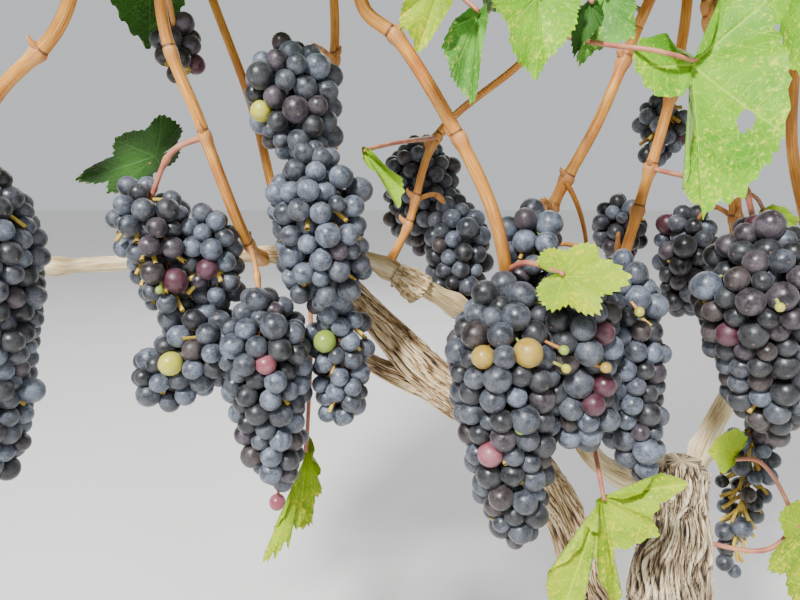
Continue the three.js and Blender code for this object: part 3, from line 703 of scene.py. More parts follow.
def mix(pair, share):
    """The number that lies at this share of the way from the pair's first to its second."""
    return pair[0] + (pair[1] - pair[0]) * share


class Stem:
    """One shoot's whole way from the cane to its tip in the crown."""

    def __init__(self, index, way, row, station, leaves, tip, girth=1.0):
        drift = random_stream(STEM_SEED + index)
        depth = row * ROW_DEPTH
        self.index, self.row, self.leaves, self.tip, self.girth = index, row, leaves, tip, girth
        self.route = way + [
            [station, depth, STATION_HEIGHT],
            [station + 24 * (drift() - 0.5), depth * 0.9, (STATION_HEIGHT + tip) / 2],
            [station + 36 * (drift() - 0.5), depth * 0.7, tip]]
        self.foot = way[0][2]
        shares = np.linspace(0, 1, 3000)
        self.fine_shares, self.fine = shares, route(self.route, shares)
        self.joints, self.blades = [], []

    def share(self, height):
        """The share of the route at a height."""
        return np.interp(height, self.fine[:, 2], self.fine_shares)

    def place(self, height):
        """The shoot's middle at a height."""
        return route(self.route, self.share(height))[0]

    def radius(self, height):
        """An even taper from the foot to the tip."""
        return self.girth * mix(SHOOT_RADIUS, (height - self.foot) / (self.tip - self.foot))


HEIGHT_STEP = 10.0
stems = [Stem(index, *shoot) for index, shoot in enumerate(SHOOTS)]
heights = np.arange(440, 1761, HEIGHT_STEP)
stem_table = np.stack([
    np.stack([np.interp(heights, stem.fine[:, 2], stem.fine[:, k]) for k in (0, 1)], 1)
    for stem in stems])
print("stems", len(stems), "first tip", np.round(stems[0].place(1590), 1))

# %% [markdown]
# ## The space of a leaf
#
# Every shoot has a space of its own, which is nearer to it than to any other. A leaf is a
# frame of three axes at the joint of its stalk, and five points of its rim tell whether it
# stays in its shoot's space and inside the crown, which is trimmed on all sides.

# %% The space of a leaf
BLADE_TIP, BLADE_CENTRE = 0.8, 0.26    # along the midrib from the stalk, in the leaf's length
BLADE_RIM = np.array([[-0.17, 0.23], [0.2, 0.52], [0.8, 0], [0.2, -0.52], [-0.17, -0.23]])
SPACE_MARGIN = 4.0                     # what keeps the leaves of two shoots apart


def heading(azimuth, elevation):
    """Unit vector of an azimuth round +Z from +X and an elevation, in degrees."""
    a, e = math.radians(azimuth), math.radians(elevation)
    return np.array([math.cos(e) * math.cos(a), math.cos(e) * math.sin(a), math.sin(e)])


def blade_frame(joint, tip, face):
    """Axes of a blade: along its midrib, across it, and out of its upper side."""
    joint, tip, face = (np.asarray(a, float) for a in (joint, tip, face))
    along = unit(tip - joint)
    normal = unit(face - along * face.dot(along))
    return {"joint": joint, "along": along, "normal": normal, "across": np.cross(normal, along)}


def blade_points(axes, length, flat):
    """Flat places of a blade, counted in its length, laid along and across its axes."""
    return axes["joint"] + flat[:, :1] * length * axes["along"] + flat[:, 1:2] * length * axes["across"]


def in_own_space(owner, spots, margin=SPACE_MARGIN, depth=CROWN_DEPTH):
    """True if all spots lie inside the trimmed crown and nearer to the owner's stem than to
    any other at their height, by the margin."""
    low, high = spots.min(0), spots.max(0)
    if low[2] < CROWN_FLOOR or high[2] > CROWN_TOP or abs(spots[:, 1]).max() > depth:
        return False
    if low[0] < ROW_ENDS[0] or high[0] > ROW_ENDS[1]:
        return False
    rows = np.clip(((spots[:, 2] - heights[0]) / HEIGHT_STEP).astype(int), 0, len(heights) - 1)
    apart = np.linalg.norm(stem_table[:, rows] - spots[None, :, :2], axis=2)
    own = apart[owner.index] + margin
    return bool((np.delete(apart, owner.index, 0) > own).all())


print("across a blade that hangs to +X", blade_frame((0, 0, 0), (1, 0, -1), (1, 0, 1))["across"])

# %% [markdown]
# ## Where the leaves grow
#
# The crown is grown by the same rule as its solids, from the same seeded numbers, so each
# main leaf stands where its solid stands. At every joint a leaf rises on its stalk and hangs
# its tip outward, left and right in turn. It is drawn again, up to a limit, while it would
# leave the space of its shoot or crowd a leaf that is there.

# %% The rule of growth
NEXT_TRY = 7919                        # from the seed of one try to the seed of the next
LEAF_LENGTH, PETIOLE_LENGTH = (90, 122), (52, 90)
ATTEMPTS, SHRINK = 24, (1, 0.9, 0.8)   # eight tries at each size
CROWDING = 0.66                        # least distance of two blades' middles, in lengths
FIRST_LEAF, LAST_LEAF, LEAF_SPACING = 25, 12, 74
SMALL_LEAF = 0.62                      # leaves of side twigs and tips, as a share of the others
TWIG_EVERY, TWIG_LENGTH, TWIG_LEAVES = 9, (45, 80), (0.576, 0.96)
JITTER_SEED, LEAF_SEED, TWIG_SEED, TWIG_LEAF_SEED, TIP_SEED = 300, 10000, 50, 81, 9900


def grow_leaf(stem, root, side, scale, seed, margin=SPACE_MARGIN, crowding=CROWDING, depth=CROWN_DEPTH):
    """One leaf of the rule, as a dict, or None if it never fits. Its stalk rises to the side,
    its tip hangs outward, and its upper side looks up and away from the shoot."""
    for attempt in range(ATTEMPTS):
        draw = random_stream(seed + attempt * NEXT_TRY)
        size = scale * SHRINK[attempt // 8]
        length = mix(LEAF_LENGTH, draw()) * size
        azimuth = stem.row * 90 + side * (5 + 70 * draw())
        rise = heading(azimuth, 15 + 35 * draw())
        joint = root + rise * mix(PETIOLE_LENGTH, draw()) * size
        turn = azimuth + 60 * (draw() - 0.5)
        drop = 20 + 55 * draw()
        face = heading(turn + 50 * (draw() - 0.5), 90 - drop)
        axes = blade_frame(joint, joint + heading(turn, -drop), face)
        middle = joint + axes["along"] * BLADE_CENTRE * length
        if (joint - root).dot(axes["along"]) <= 0:
            continue
        if any(np.linalg.norm(other - middle) < crowding * (length + other_length) / 2
               for other, other_length in stem.blades):
            continue
        if in_own_space(stem, blade_points(axes, length, BLADE_RIM), margin, depth):
            stem.blades.append((middle, length))
            return {"root": root, "axes": axes, "length": length, "seed": seed}
    return None


def leaf_scale(height):
    """Leaves get smaller from a height of 1350 mm on, down to six tenths."""
    return 1 - 0.4 * np.clip((height - 1350) / 350, 0, 1)


def grow_mass(stem):
    """The main leaves of one shoot by the source's rule: (leaves, side twigs)."""
    jitter = random_stream(JITTER_SEED + stem.index)
    seed = LEAF_SEED * (stem.index + 1)
    leaves, twigs, count, height = [], [], 0, stem.leaves + FIRST_LEAF
    while height < stem.tip - LAST_LEAF:
        at = height + 12 * (jitter() - 0.5)
        root = stem.place(at)
        side = 1 if count % 2 else -1
        own_seed = seed + 100 * count
        stem.joints.append(at)
        leaves.append(grow_leaf(stem, root, side, leaf_scale(height), own_seed))
        if count % TWIG_EVERY == 4:
            draw = random_stream(own_seed + TWIG_SEED)
            azimuth = stem.row * 90 - side * (20 + 40 * draw())
            end = root + heading(azimuth, 20 + 30 * draw()) * mix(TWIG_LENGTH, draw())
            if in_own_space(stem, end[None]):
                scale = leaf_scale(height) * SMALL_LEAF
                small = [grow_leaf(stem, root + (end - root) * share, -side if k else side, scale,
                                   own_seed + TWIG_LEAF_SEED + k) for k, share in enumerate(TWIG_LEAVES)]
                if any(small):
                    twigs.append((root, end))
                    leaves += small
        count += 1
        height += LEAF_SPACING
    leaves.append(grow_leaf(stem, stem.place(stem.tip - 6), stem.row, SMALL_LEAF, seed + TIP_SEED))
    return [leaf for leaf in leaves if leaf], twigs


crown = [grow_mass(stem) for stem in stems]
print("main leaves", sum(len(leaves) for leaves, _ in crown))

# %% [markdown]
# ## Side shoots
#
# In summer each joint also sends out a side shoot with a few small leaves, which fill the
# crown between the main ones. They follow the same rule with less room between blades, and
# may reach a little into the next shoots' space, but never outside the trimmed crown.


# %% Side shoots
SIDE_LENGTH, SIDE_SPACING, SIDE_CROWDING = (60, 150), 27, 0.44
FIRST_SCALE, NEXT_SMALLER = 0.66, 0.05         # of a side shoot's leaves, each smaller than the last
TOP_ROOM, SIDE_ROOM, LEAF_ROOM = 15, 33, 18    # free space under the crown's top and inside its sides
EVERY_SHOOT = [                # shift up the shoot, first side, chance to point out of the row,
    (0, 1, 0.62, 1.0, 34.0),   # spread, and reach over the border to the next shoot's space
    (30, -1, 0.62, 1.0, 34.0),
    (15, 1, 0.0, 0.5, 70.0),
]
END_SHOOTS = [(45, -1, 0.0, 1.5, 30.0), (60, 1, 0.1, 1.5, 30.0), (8, 1, 0.5, 1.5, 30.0)]
TWIG_SEEDS, SMALL_LEAF_SEEDS = (50000, 30000, 1000), (70000, 200000, 7000)


def seed_of(steps, turn, stem):
    """The first of the seeds, and a step up for each turn and for each stem."""
    return steps[0] + steps[1] * turn + steps[2] * stem.index


def grow_side_shoots(stem, leaves, twigs, turn, shift, first_side, out_chance, spread, over):
    """At each joint a twig, left and right in turn, with a small leaf at every spacing."""
    for number, at in enumerate(stem.joints):
        draw = random_stream(seed_of(TWIG_SEEDS, turn, stem) + number)
        root = stem.place(at + shift)
        side = (-1 if number % 2 else 1) * first_side
        outward = 1 if draw() < out_chance else -1
        azimuth = stem.row * 90 * outward + side * (70 * draw() - 10) * spread
        length = mix(SIDE_LENGTH, draw()) * leaf_scale(at)
        end = root + heading(azimuth, 10 + 45 * draw()) * length
        if end[2] > CROWN_TOP - TOP_ROOM or abs(end[1]) > CROWN_DEPTH - SIDE_ROOM:
            continue
        grown = []
        for k in range(int(length // SIDE_SPACING)):
            share = (k + 1) * SIDE_SPACING / length
            scale = (FIRST_SCALE - NEXT_SMALLER * k) * leaf_scale(at)
            seed = seed_of(SMALL_LEAF_SEEDS, turn, stem) + 100 * number + k
            leaf = grow_leaf(stem, root + (end - root) * share, side if k % 2 else -side, scale, seed,
                             margin=-over, crowding=SIDE_CROWDING, depth=CROWN_DEPTH - LEAF_ROOM)
            if leaf:
                grown.append(leaf)
        if grown:
            twigs.append((root, end))
            leaves += grown


for turn, looks in enumerate(EVERY_SHOOT + END_SHOOTS):
    for stem, (leaves, twigs) in zip(stems, crown):
        if turn < len(EVERY_SHOOT) or stem.index in (0, len(stems) - 1):
            grow_side_shoots(stem, leaves, twigs, turn, *looks)
print("all crown leaves", sum(len(leaves) for leaves, _ in crown),
      "twigs", sum(len(twigs) for _, twigs in crown))

# %% [markdown]
# ## The blade of a vine leaf
#
# A vine leaf has five lobes round the point where the stalk joins it, and a toothed rim. In
# polar form about that point the rim is one function of the angle from the midrib: long at
# the five vein ends, short in the bays between, with a notch where the stalk comes in. The
# veins sink in a little, and the blade stands up in cushions between them.

# %% Leaf outline and relief
LOBE_ANGLES = np.array([0, 14, 31, 50, 66, 83, 106, 130, 152, 168, 180.0])
LOBE_REACH = np.array([0.80, 0.66, 0.50, 0.64, 0.56, 0.43, 0.50, 0.44, 0.37, 0.26, 0.06])
MAIN_VEINS = (0, 50, 106)              # degrees from the midrib, to both sides
VEIN_ANGLES = np.radians([0, 50, -50, 106, -106])
SIDE_VEIN_ANGLE, SIDE_VEIN_SPACING = math.radians(48), 0.105


def rim_reach(angle, teeth, bite, seed):
    """Distance of the rim: the lobes' outline, with teeth that cut in by the share bite."""
    degrees = np.abs(np.degrees((angle + np.pi) % (2 * np.pi) - np.pi))
    phase = angle / (2 * np.pi) * teeth + 0.35 * np.sin(3 * angle + seed)
    tooth = np.abs(2 * (phase % 1) - 1)
    return np.interp(degrees, LOBE_ANGLES, LOBE_REACH) * (1 - bite * tooth)


def vein_marks(flat):
    """How much of a vein lies at a flat place: the five main veins, as the distance to their
    rays, and side veins that leave each of them at their angle and spacing."""
    mark = np.zeros(len(flat))
    for vein in VEIN_ANGLES:
        axis = np.array([math.cos(vein), math.sin(vein)])
        ahead, aside = flat @ axis, flat @ np.array([-axis[1], axis[0]])
        width = 0.011 * np.clip(1.15 - np.hypot(*flat.T) / BLADE_TIP, 0.35, 1)
        mark = np.maximum(mark, np.exp(-(aside / width) ** 2) * (ahead > 0))
        within = (np.abs(aside) < 0.36 * ahead) & (ahead > 0.02)
        step = (ahead - np.abs(aside) / math.tan(SIDE_VEIN_ANGLE)) / SIDE_VEIN_SPACING
        gap = np.abs(step - np.round(step)) * SIDE_VEIN_SPACING * math.sin(SIDE_VEIN_ANGLE)
        mark = np.maximum(mark, 0.62 * np.exp(-(gap / 0.007) ** 2) * within * (step > 0.4))
    return mark


def blade_height(flat, share, seed, fold, quilt):
    """Height over the blade's plane: a shallow dish whose tip droops, a fold along the
    midrib, waves that grow towards the rim, and cushions between sunk veins."""
    angle = np.arctan2(flat[:, 1], flat[:, 0])
    dish = -0.05 * (1 - share ** 2) - 0.07 * np.clip(flat[:, 0] / BLADE_TIP, 0, 1) ** 2
    waves = share ** 2 * (0.035 * np.sin(3 * angle + seed) + 0.02 * np.sin(7 * angle + 2 * seed))
    return dish + fold * np.abs(flat[:, 1]) + waves - quilt * vein_marks(flat)


print("reach of the five lobes", np.interp(np.degrees(VEIN_ANGLES), LOBE_ANGLES, LOBE_REACH).round(2))

# %% [markdown]
# ## The blade as a mesh
#
# Rings of the outline, drawn smaller and smaller, fill the blade. The flat leaf is also its
# own map, so a finish finds the veins again however the blade is crumpled. A leaf of the
# crown is laid down plainly, and most that the camera sees from close by get a form.


# %% Blade
def in_form(form, angle, far, length):
    """The blade as it hangs, crumpled and turned. For some of the flat outline's angles the
    form has the rim's place, across and along the midrib, in mm. A point lies far of the way
    out to the place of its own angle."""
    at, across, along = np.array(form, float)[::-1].T
    degrees = np.degrees(angle)
    rim = np.stack([np.interp(degrees, at, along), np.interp(degrees, at, across)], 1) / length
    return rim * far[:, None]


def opened(laid, middle, half):
    """A blade with a hole: points near its rim, inside or out, move straight onto it. Also
    each point's distance from the hole's middle, 1 on the rim."""
    apart = np.linalg.norm((laid - middle) / half, axis=1)
    moved = (apart > 0.55) & (apart < 1.3)
    laid = laid.copy()
    laid[moved] = middle + (laid[moved] - middle) / apart[moved, None]
    return laid, np.linalg.norm((laid - middle) / half, axis=1)


def leaf_blade(axes, length, columns, rings, teeth, bite, seed, fold=0.06, quilt=0.012, finish=0,
               form=None, hole=None, sheet=0.0):
    """A blade as rings of its own outline round the stalk's joint. The teeth only shape the
    outer rings. A form lays the blade down as it hangs. A hole has its middle and half width
    on the laid blade, and points near it move onto its rim. Sheet is how far the under side
    lies below the upper, less and less towards every rim."""
    angle, share = np.meshgrid(columns, (np.arange(rings) + 1) / rings)
    plain = np.interp(np.abs(np.degrees(angle)), LOBE_ANGLES, LOBE_REACH)
    reach = share * (plain * (1 - share ** 6) + rim_reach(angle, teeth, bite, seed) * share ** 6)
    flat = np.stack([reach * np.cos(angle), reach * np.sin(angle)], -1)
    flat = np.vstack([[0, 0], flat.reshape(-1, 2)])
    shares = np.concatenate([[0], share.ravel()])
    count = len(columns)
    quads = 1 + grid_faces(rings, count).reshape(-1, 4)
    k = np.arange(count)
    tris = np.stack([np.zeros(count, int), 1 + k, 1 + (k + 1) % count], 1)
    rim_near = shares ** 8
    laid = flat
    if form is not None:
        tooth = np.concatenate([[0], (reach / (share * plain)).ravel()])
        laid = in_form(form, np.concatenate([[0], angle.ravel()]), shares * tooth, length)
    if hole is not None:
        laid, apart = opened(laid, *hole)
        quads = quads[(apart[quads] > 1.001).any(1)]
        rim_near = np.maximum(rim_near, step_up(1.6 - apart, 0.0, 0.6))
    lift = blade_height(flat, shares, seed % 7, fold, quilt) - sheet * (1 - rim_near)
    points = blade_points(axes, length, laid) + lift[:, None] * length * axes["normal"]
    return Shape(points, quads, tris, flat[quads], flat[tris], finish, vein_marks(flat))


def crown_columns():
    """Angles of a small leaf's rays: three close together at each vein, and some between."""
    close = (np.degrees(VEIN_ANGLES)[:, None] + [-2.4, 0, 2.4]).ravel()
    between = np.array([8, 14, 20, 27, 33, 40, 57, 64, 72, 80, 88, 97, 115, 124, 133, 143, 153, 163, 172])
    return np.radians(np.sort(np.concatenate([close, between, -between, [180]])))


print("rays of a small leaf", len(crown_columns()))

# %% [markdown]
# ## Leaf green
#
# The greens differ from leaf to leaf, from deep green in the shade to yellow green where the
# sun has aged them. Each leaf is dealt one of a few plain greens, and each green is flecked
# with small pale spots and carries paler veins, read from the mark of each point.


# %% Leaf finishes
def leaf_finish(name, deep, green, fleck, vein, flecks=0.5):
    """Clouds from deep to green, flecks where a finer noise is high, and veins by the mark.
    With more flecks they start at a lower noise and cover more."""
    material, shader, add, link = new_material(name, 0.55)
    place = object_place(add)
    body = ramp(add, speckle(add, place, 70, 3.0), [(0.32, deep), (0.62, green)])
    spots = band(add, speckle(add, place, 620), 0.60 - 0.06 * flecks, 0.70, 0, 0.75 * flecks + 0.2)
    body = blend(add, spots, body, fleck)
    veins = band(add, point_mark(add), 0.15, 0.95, 0, 0.8)
    link(blend(add, veins, body, vein), shader.inputs["Base Color"])
    set_bump(add, link, shader, speckle(add, place, 480, 3.0), 0.35, 0.0008)
    return material


leaf_greens = [
    leaf_finish("leaf_deep", "#27450f", "#3f681b", "#8fa44e", "#84994a"),
    leaf_finish("leaf_green", "#335c16", "#538226", "#a2b755", "#96ab52"),
    leaf_finish("leaf_mid", "#43761e", "#6a9c35", "#b5c662", "#a9bd60"),
    leaf_finish("leaf_light", "#5c9128", "#89b341", "#c6d272", "#bccb6e", 0.7),
    leaf_finish("leaf_aged", "#86a028", "#b3c242", "#dad877", "#d3d480", 0.9),
]
GREEN_CHANCES = (0.26, 0.30, 0.24, 0.14, 0.06)
print("greens", len(leaf_greens))

# %% [markdown]
# ## The crown's leaves
#
# There are about two thousand of them, so each has only a few dozen rays and three rings,
# enough for its lobes, teeth and veins. All the leaves of one shoot are stacked into one
# piece, which takes the place of the shoot's mass of leaves.


# %% Crown leaves
def dealt(seed):
    """A green for a leaf, dealt by its own seed with the chances of the greens."""
    return int(np.searchsorted(np.cumsum(GREEN_CHANCES), random_stream(seed + 5)() * 0.9999))


columns = crown_columns()
for stem, (leaves, _) in zip(stems, crown):
    blades = [leaf_blade(leaf["axes"], leaf["length"], columns, rings=3, teeth=24, bite=0.15,
                         seed=leaf["seed"] % 1000, finish=dealt(leaf["seed"])) for leaf in leaves]
    number = stem.index + 1
    piece(f"crown_leaves_{number}", stacked(blades), leaf_greens, [f"leaves_{number}"])

# %% [markdown]
# ## Leaf stalks and side twigs
#
# Each leaf's stalk leaves its joint, rises in a slight arch and meets the blade where its
# veins do. They are pink to red on the sunny side and green inside the crown, so each stalk
# is dealt one of two plain colours. All of them are worked out at once, as arrays.

# %% Stalks of the crown
RED_SHARE = 0.55
stalk_red = speckled("stalk_red", 0.5, 90, [(0.3, "#a3564a"), (0.7, "#c08a62")])
stalk_green = speckled("stalk_green", 0.5, 90, [(0.3, "#7d8a3c"), (0.7, "#a8a958")])


def arched(starts, ends, share):
    """Upward bows for stalks: a share of each one's length."""
    bows = np.zeros_like(starts)
    bows[:, 2] = share * np.linalg.norm(ends - starts, axis=1)
    return bows


every_leaf = [leaf for leaves, _ in crown for leaf in leaves]
roots = np.array([leaf["root"] for leaf in every_leaf])
ends = np.array([leaf["axes"]["joint"] for leaf in every_leaf])
arch = arched(roots, ends, 0.10)
red = np.array([random_stream(leaf["seed"] + 6)() < RED_SHARE for leaf in every_leaf])
petioles = [many_tubes(roots[pick], ends[pick], arch[pick], 1.5, 1.0, sides=4, steps=4, finish=finish)
            for pick, finish in ((red, 0), (~red, 1))]
twig_roots, twig_ends = (np.array(side) for side in zip(*[twig for _, twigs in crown for twig in twigs]))
twigs = many_tubes(twig_roots, twig_ends, arched(twig_roots, twig_ends, 0.06), 1.9, 1.0,
                   sides=6, steps=5, finish=1)
piece("crown_stalks", stacked([*petioles, twigs]), [stalk_red, stalk_green],
      [f"leaves_{stem.index + 1}" for stem in stems])

# %% [markdown]
# ## Bunches: where they hang
#
# A bunch hangs from a joint of its shoot. Its main lobe narrows downwards, and some bunches
# have a second lobe beside it. After the shoot, the joint's height and the radius of its
# berries, each bunch lists its lobes: shoulder, tip and two radii, the same as its solid.

# %% Measures of the bunches
BUNCHES = [
    (1, 640, 6.3, [((-424, -82, 622), (-440, -72, 460), 36, 18)]),
    (2, 655, 6.1, [((-346, -52, 617), (-326, -48, 553), 26, 22),
                   ((-306, -50, 600), (-303, -46, 562), 19, 16)]),
    (2, 590, 6.7, [((-274, -58, 548), (-271, -46, 444), 32, 17),
                   ((-302, -52, 536), (-344, -48, 502), 27, 21)]),
    (4, 640, 6.3, [((-240, -62, 634), (-236, -54, 562), 30, 26),
                   ((-228, -46, 545), (-228, -38, 484), 21, 17)]),
    (4, 716, 6.4, [((-256, -44, 696), (-250, -42, 654), 29, 24)]),
    (6, 655, 6.0, [((-172, 66, 650), (-174, 68, 594), 30, 24)]),
    (6, 618, 6.6, [((-149, 26, 604), (-146, 30, 548), 25, 20)]),
    (7, 612, 7.4, [((-106, -32, 602), (-104, -34, 566), 23, 20)]),
    (5, 560, 7.4, [((-130, -64, 552), (-116, -54, 408), 39, 19),
                   ((-88, -66, 560), (-78, -60, 480), 30, 22)]),
    (7, 585, 6.8, [((-54, -46, 570), (-34, -48, 450), 26, 16)]),
    (9, 606, 6.7, [((20, 28, 600), (24, 34, 546), 24, 18)]),
    (9, 640, 6.5, [((8, -92, 590), (28, -84, 496), 41, 22)]),
    (8, 690, 6.0, [((8, 58, 684), (8, 60, 656), 21, 17)]),
    (2, 735, 6.2, [((-330, -22, 720), (-328, -22, 702), 17, 14)]),
    (10, 596, 6.6, [((84, 34, 440), (74, 32, 326), 25, 12)]),
    (8, 560, 6.2, [((-21, 56, 606), (-19, 58, 582), 22, 17)]),
    (11, 640, 6.6, [((160, -64, 606), (152, -60, 470), 38, 16)]),
    (12, 650, 6.6, [((238, 74, 612), (232, 78, 500), 34, 16)]),
    (13, 640, 6.6, [((312, -58, 604), (304, -54, 476), 36, 16)]),
]


def lobe_radius(radii, share):
    """The solid's lobe: rounded over its first quarter and its last fifth, and narrowing from
    its first radius to its second."""
    shoulder = np.sqrt(np.clip(1 - (1 - np.minimum(1, share / 0.26)) ** 2, 0, 1))
    end = np.sqrt(np.clip(1 - np.clip((share - 0.8) / 0.2, 0, 1) ** 2, 0, 1))
    return np.maximum(1.5, mix(radii, share ** 1.3) * shoulder * end)


print("bunches", len(BUNCHES), "lobes", sum(len(lobes) for *_, lobes in BUNCHES))

# %% [markdown]
# ## Bunches: packing the berries
#
# Berries crowd each other into the even, bumpy skin that a ripe bunch has. They start on a
# golden-angle spiral down each lobe, as seeds do on a sunflower, then all berries of a bunch
# push apart where they overlap and are drawn back to their depth under the lobe's skin. An
# inner layer closes the gaps so that no daylight falls through.


# %% Packing
LOBE_MARGIN = 8                # a lobe's skin reaches this far past its listed ends
GOLDEN_ANGLE = 2.39996         # in radians
HEX_SHARE = 0.866              # room of a ball in a dense layer, in squared diameters
CROWD = 0.80                   # and the share of it that a berry gets in its bunch
INNER_DEPTH = 2.75             # depth of the inner layer under the skin, in radii of a berry
SETTLE_ROUNDS, CONTACT, PUSH, DRAW_BACK = 60, 0.95, 0.4, 0.30


def spiral(lobe, depth, berry, crowd, rng):
    """Centres on one layer of a lobe: the share follows the area of the skin, the angle the
    golden angle."""
    top, tip = np.array(lobe[0], float), np.array(lobe[1], float)
    reach = unit(tip - top) * LOBE_MARGIN
    start, end = top - reach, tip + reach
    shares = np.linspace(0, 1, 400)
    radius = np.clip(lobe_radius(lobe[2:], shares) - depth, 0.0, None)
    length = np.linalg.norm(end - start)
    skin = 2 * np.pi * (radius + 1.0) * length / 400 * (radius > 0)
    count = int(skin.sum() / (crowd * (2 * berry) ** 2 * HEX_SHARE))
    if count < 1:
        return np.zeros((0, 3))
    at = np.interp((np.arange(count) + 0.5) / count, np.cumsum(skin) / skin.sum(), shares)
    angle = np.arange(count) * GOLDEN_ANGLE + rng.normal(0, 0.15, count)
    axis = unit(end - start)
    u = unit(np.cross(axis, [0.0, 1.0, 0.1]))
    v = np.cross(axis, u)
    out = u * np.cos(angle)[:, None] + v * np.sin(angle)[:, None]
    return start + (end - start) * at[:, None] + out * np.interp(at, shares, radius)[:, None]


def settle(centres, radii, depths, lobe_of, lobes):
    """Round by round, push apart what overlaps and draw each berry back to its depth. Pairs
    count as apart from a little less than the sum of their radii, as berries press flat."""
    for _ in range(SETTLE_ROUNDS):
        gap = centres[:, None] - centres[None]
        distance = np.linalg.norm(gap, axis=2) + np.eye(len(centres)) * 99
        overlap = np.clip((radii[:, None] + radii[None]) * CONTACT - distance, 0, None)
        centres = centres + PUSH * (gap / distance[..., None] * overlap[..., None]).sum(1)
        for number, lobe in enumerate(lobes):
            mine = lobe_of == number
            top, tip = np.array(lobe[0], float), np.array(lobe[1], float)
            axis = unit(tip - top)
            start, length = top - axis * LOBE_MARGIN, np.linalg.norm(tip - top) + 2 * LOBE_MARGIN
            share = np.clip((centres[mine] - start) @ axis / length, 0.02, 0.98)
            middle = start + axis * length * share[:, None]
            out = centres[mine] - middle
            far = np.linalg.norm(out, axis=1)
            wish = np.clip(lobe_radius(lobe[2:], share) - depths[mine], 0, None)
            centres[mine] += DRAW_BACK * out * ((wish - far) / np.maximum(far, 1e-6))[:, None]
    return centres


test_layer = spiral(BUNCHES[0][3][0], 6.3, 6.3, CROWD, np.random.default_rng(1))
print("berries on the skin of the first lobe", len(test_layer))

# %% [markdown]
# ## Bunches: what is missing, and what is odd
#
# No bunch is perfect. Some berries have dropped off, so that the stalks show, and small green
# ones that never grew sit between the ripe. The share that has dropped off is listed for the
# bunches that have lost more than the usual one in twenty-five. The small ones are listed
# with their bunch, place and radius, and so is a loose one under a tip.

# %% Packed bunches
PACKING_SEED, USUAL_LOSS = 700, 0.04
LOOSE = {0: 0.06, 1: 0.28, 2: 0.11, 3: 0.20, 4: 0.08, 7: 0.15, 8: 0.06, 9: 0.12, 11: 0.06,
         12: 0.3, 13: 0.3, 14: 0.56}
SINGLE_BERRIES = [
    (2, (-271, -46, 421), 5.4), (8, (-98, -93, 535), 2.9), (8, (-96, -92, 524), 2.7),
    (8, (-73, -90, 524), 3.2), (8, (-120, -88, 487), 3.6), (9, (-51, -77, 554), 3.0),
    (1, (-331, -72, 566), 2.4), (3, (-247, -66, 566), 2.2), (11, (-2, -132, 566), 2.4),
]


def pack_bunch(lobes, berry, seed, loose):
    """Centres, radii and layer (0 skin, 1 inside) of one bunch's berries, and their lobe. The
    share loose of the outer berries has dropped off, and in the barest bunches some of the
    inner ones too: their places come last."""
    rng = np.random.default_rng(seed)
    parts = []
    for number, lobe in enumerate(lobes):
        for layer, depth in enumerate((berry, INNER_DEPTH * berry)):
            places = spiral(lobe, depth, berry, CROWD + 0.25 * layer, rng)
            one = np.ones(len(places), int)
            parts.append((places, depth + rng.normal(0, 1.5, len(places)), layer * one, number * one))
    centres, depths, layers, lobe_of = (np.concatenate(part) for part in zip(*parts))
    radii = berry * np.clip(rng.normal(1, 0.11, len(centres)), 0.70, 1.24)
    stay = rng.random(len(centres)) > np.where(layers == 1, 2 * loose - 0.6, loose)
    bare = centres[~stay]
    centres, depths, layers, lobe_of, radii = (a[stay] for a in (centres, depths, layers, lobe_of, radii))
    return settle(centres, radii, depths, lobe_of, lobes), radii, layers, lobe_of, bare


packed = [pack_bunch(lobes, berry, PACKING_SEED + number, LOOSE.get(number, USUAL_LOSS))
          for number, (_, _, berry, lobes) in enumerate(BUNCHES)]
for number, place, radius in SINGLE_BERRIES:
    centres, radii, layers, lobe_of, bare = packed[number]
    packed[number] = (np.vstack([centres, place]), np.append(radii, radius), np.append(layers, 0),
                      np.append(lobe_of, 0), bare)
print("berries", [len(bunch[0]) for bunch in packed], sum(len(bunch[0]) for bunch in packed))

# %% [markdown]
# ## One berry, many times
#
# A berry is a ball made from a cube's six grids blown up to a sphere, which spreads its few
# faces evenly. It is a little longer than wide and points away from its stalk. Its own map
# is the round chart of a globe seen from the pole, with the flower scar at the centre, so the
# finish can put the small brown scar where it belongs.


# %% Berries as arrays
def ball(cells):
    """A unit sphere of six grids of cells by cells quads: corners on the cube are spread by
    the tangent, so that the faces come out nearly equal."""
    t = np.tan(np.linspace(-1, 1, cells + 1) * np.pi / 4)
    a, b = np.meshgrid(t, t, indexing="ij")
    one = np.ones_like(a)
    sides = [(one, a, b), (-one, b, a), (b, one, a), (a, -one, b), (a, b, one), (b, a, -one)]
    points = np.concatenate([np.stack(side, -1).reshape(-1, 3) for side in sides])
    cell = grid_faces(cells + 1, cells + 1, wrap=False).reshape(-1, 4)
    quads = np.concatenate([cell + number * (cells + 1) ** 2 for number in range(6)])
    points = unit(points)
    _, first, back = np.unique(np.round(points, 6), axis=0, return_index=True, return_inverse=True)
    points, quads = points[first], back.ravel()[quads]
    corner = points[quads]
    turned = np.cross(corner[:, 1] - corner[:, 0], corner[:, 2] - corner[:, 0])
    inward = (turned * corner.mean(1)).sum(1) < 0
    quads[inward] = quads[inward][:, ::-1]
    return points, quads


BERRY_STRETCH = 1.05


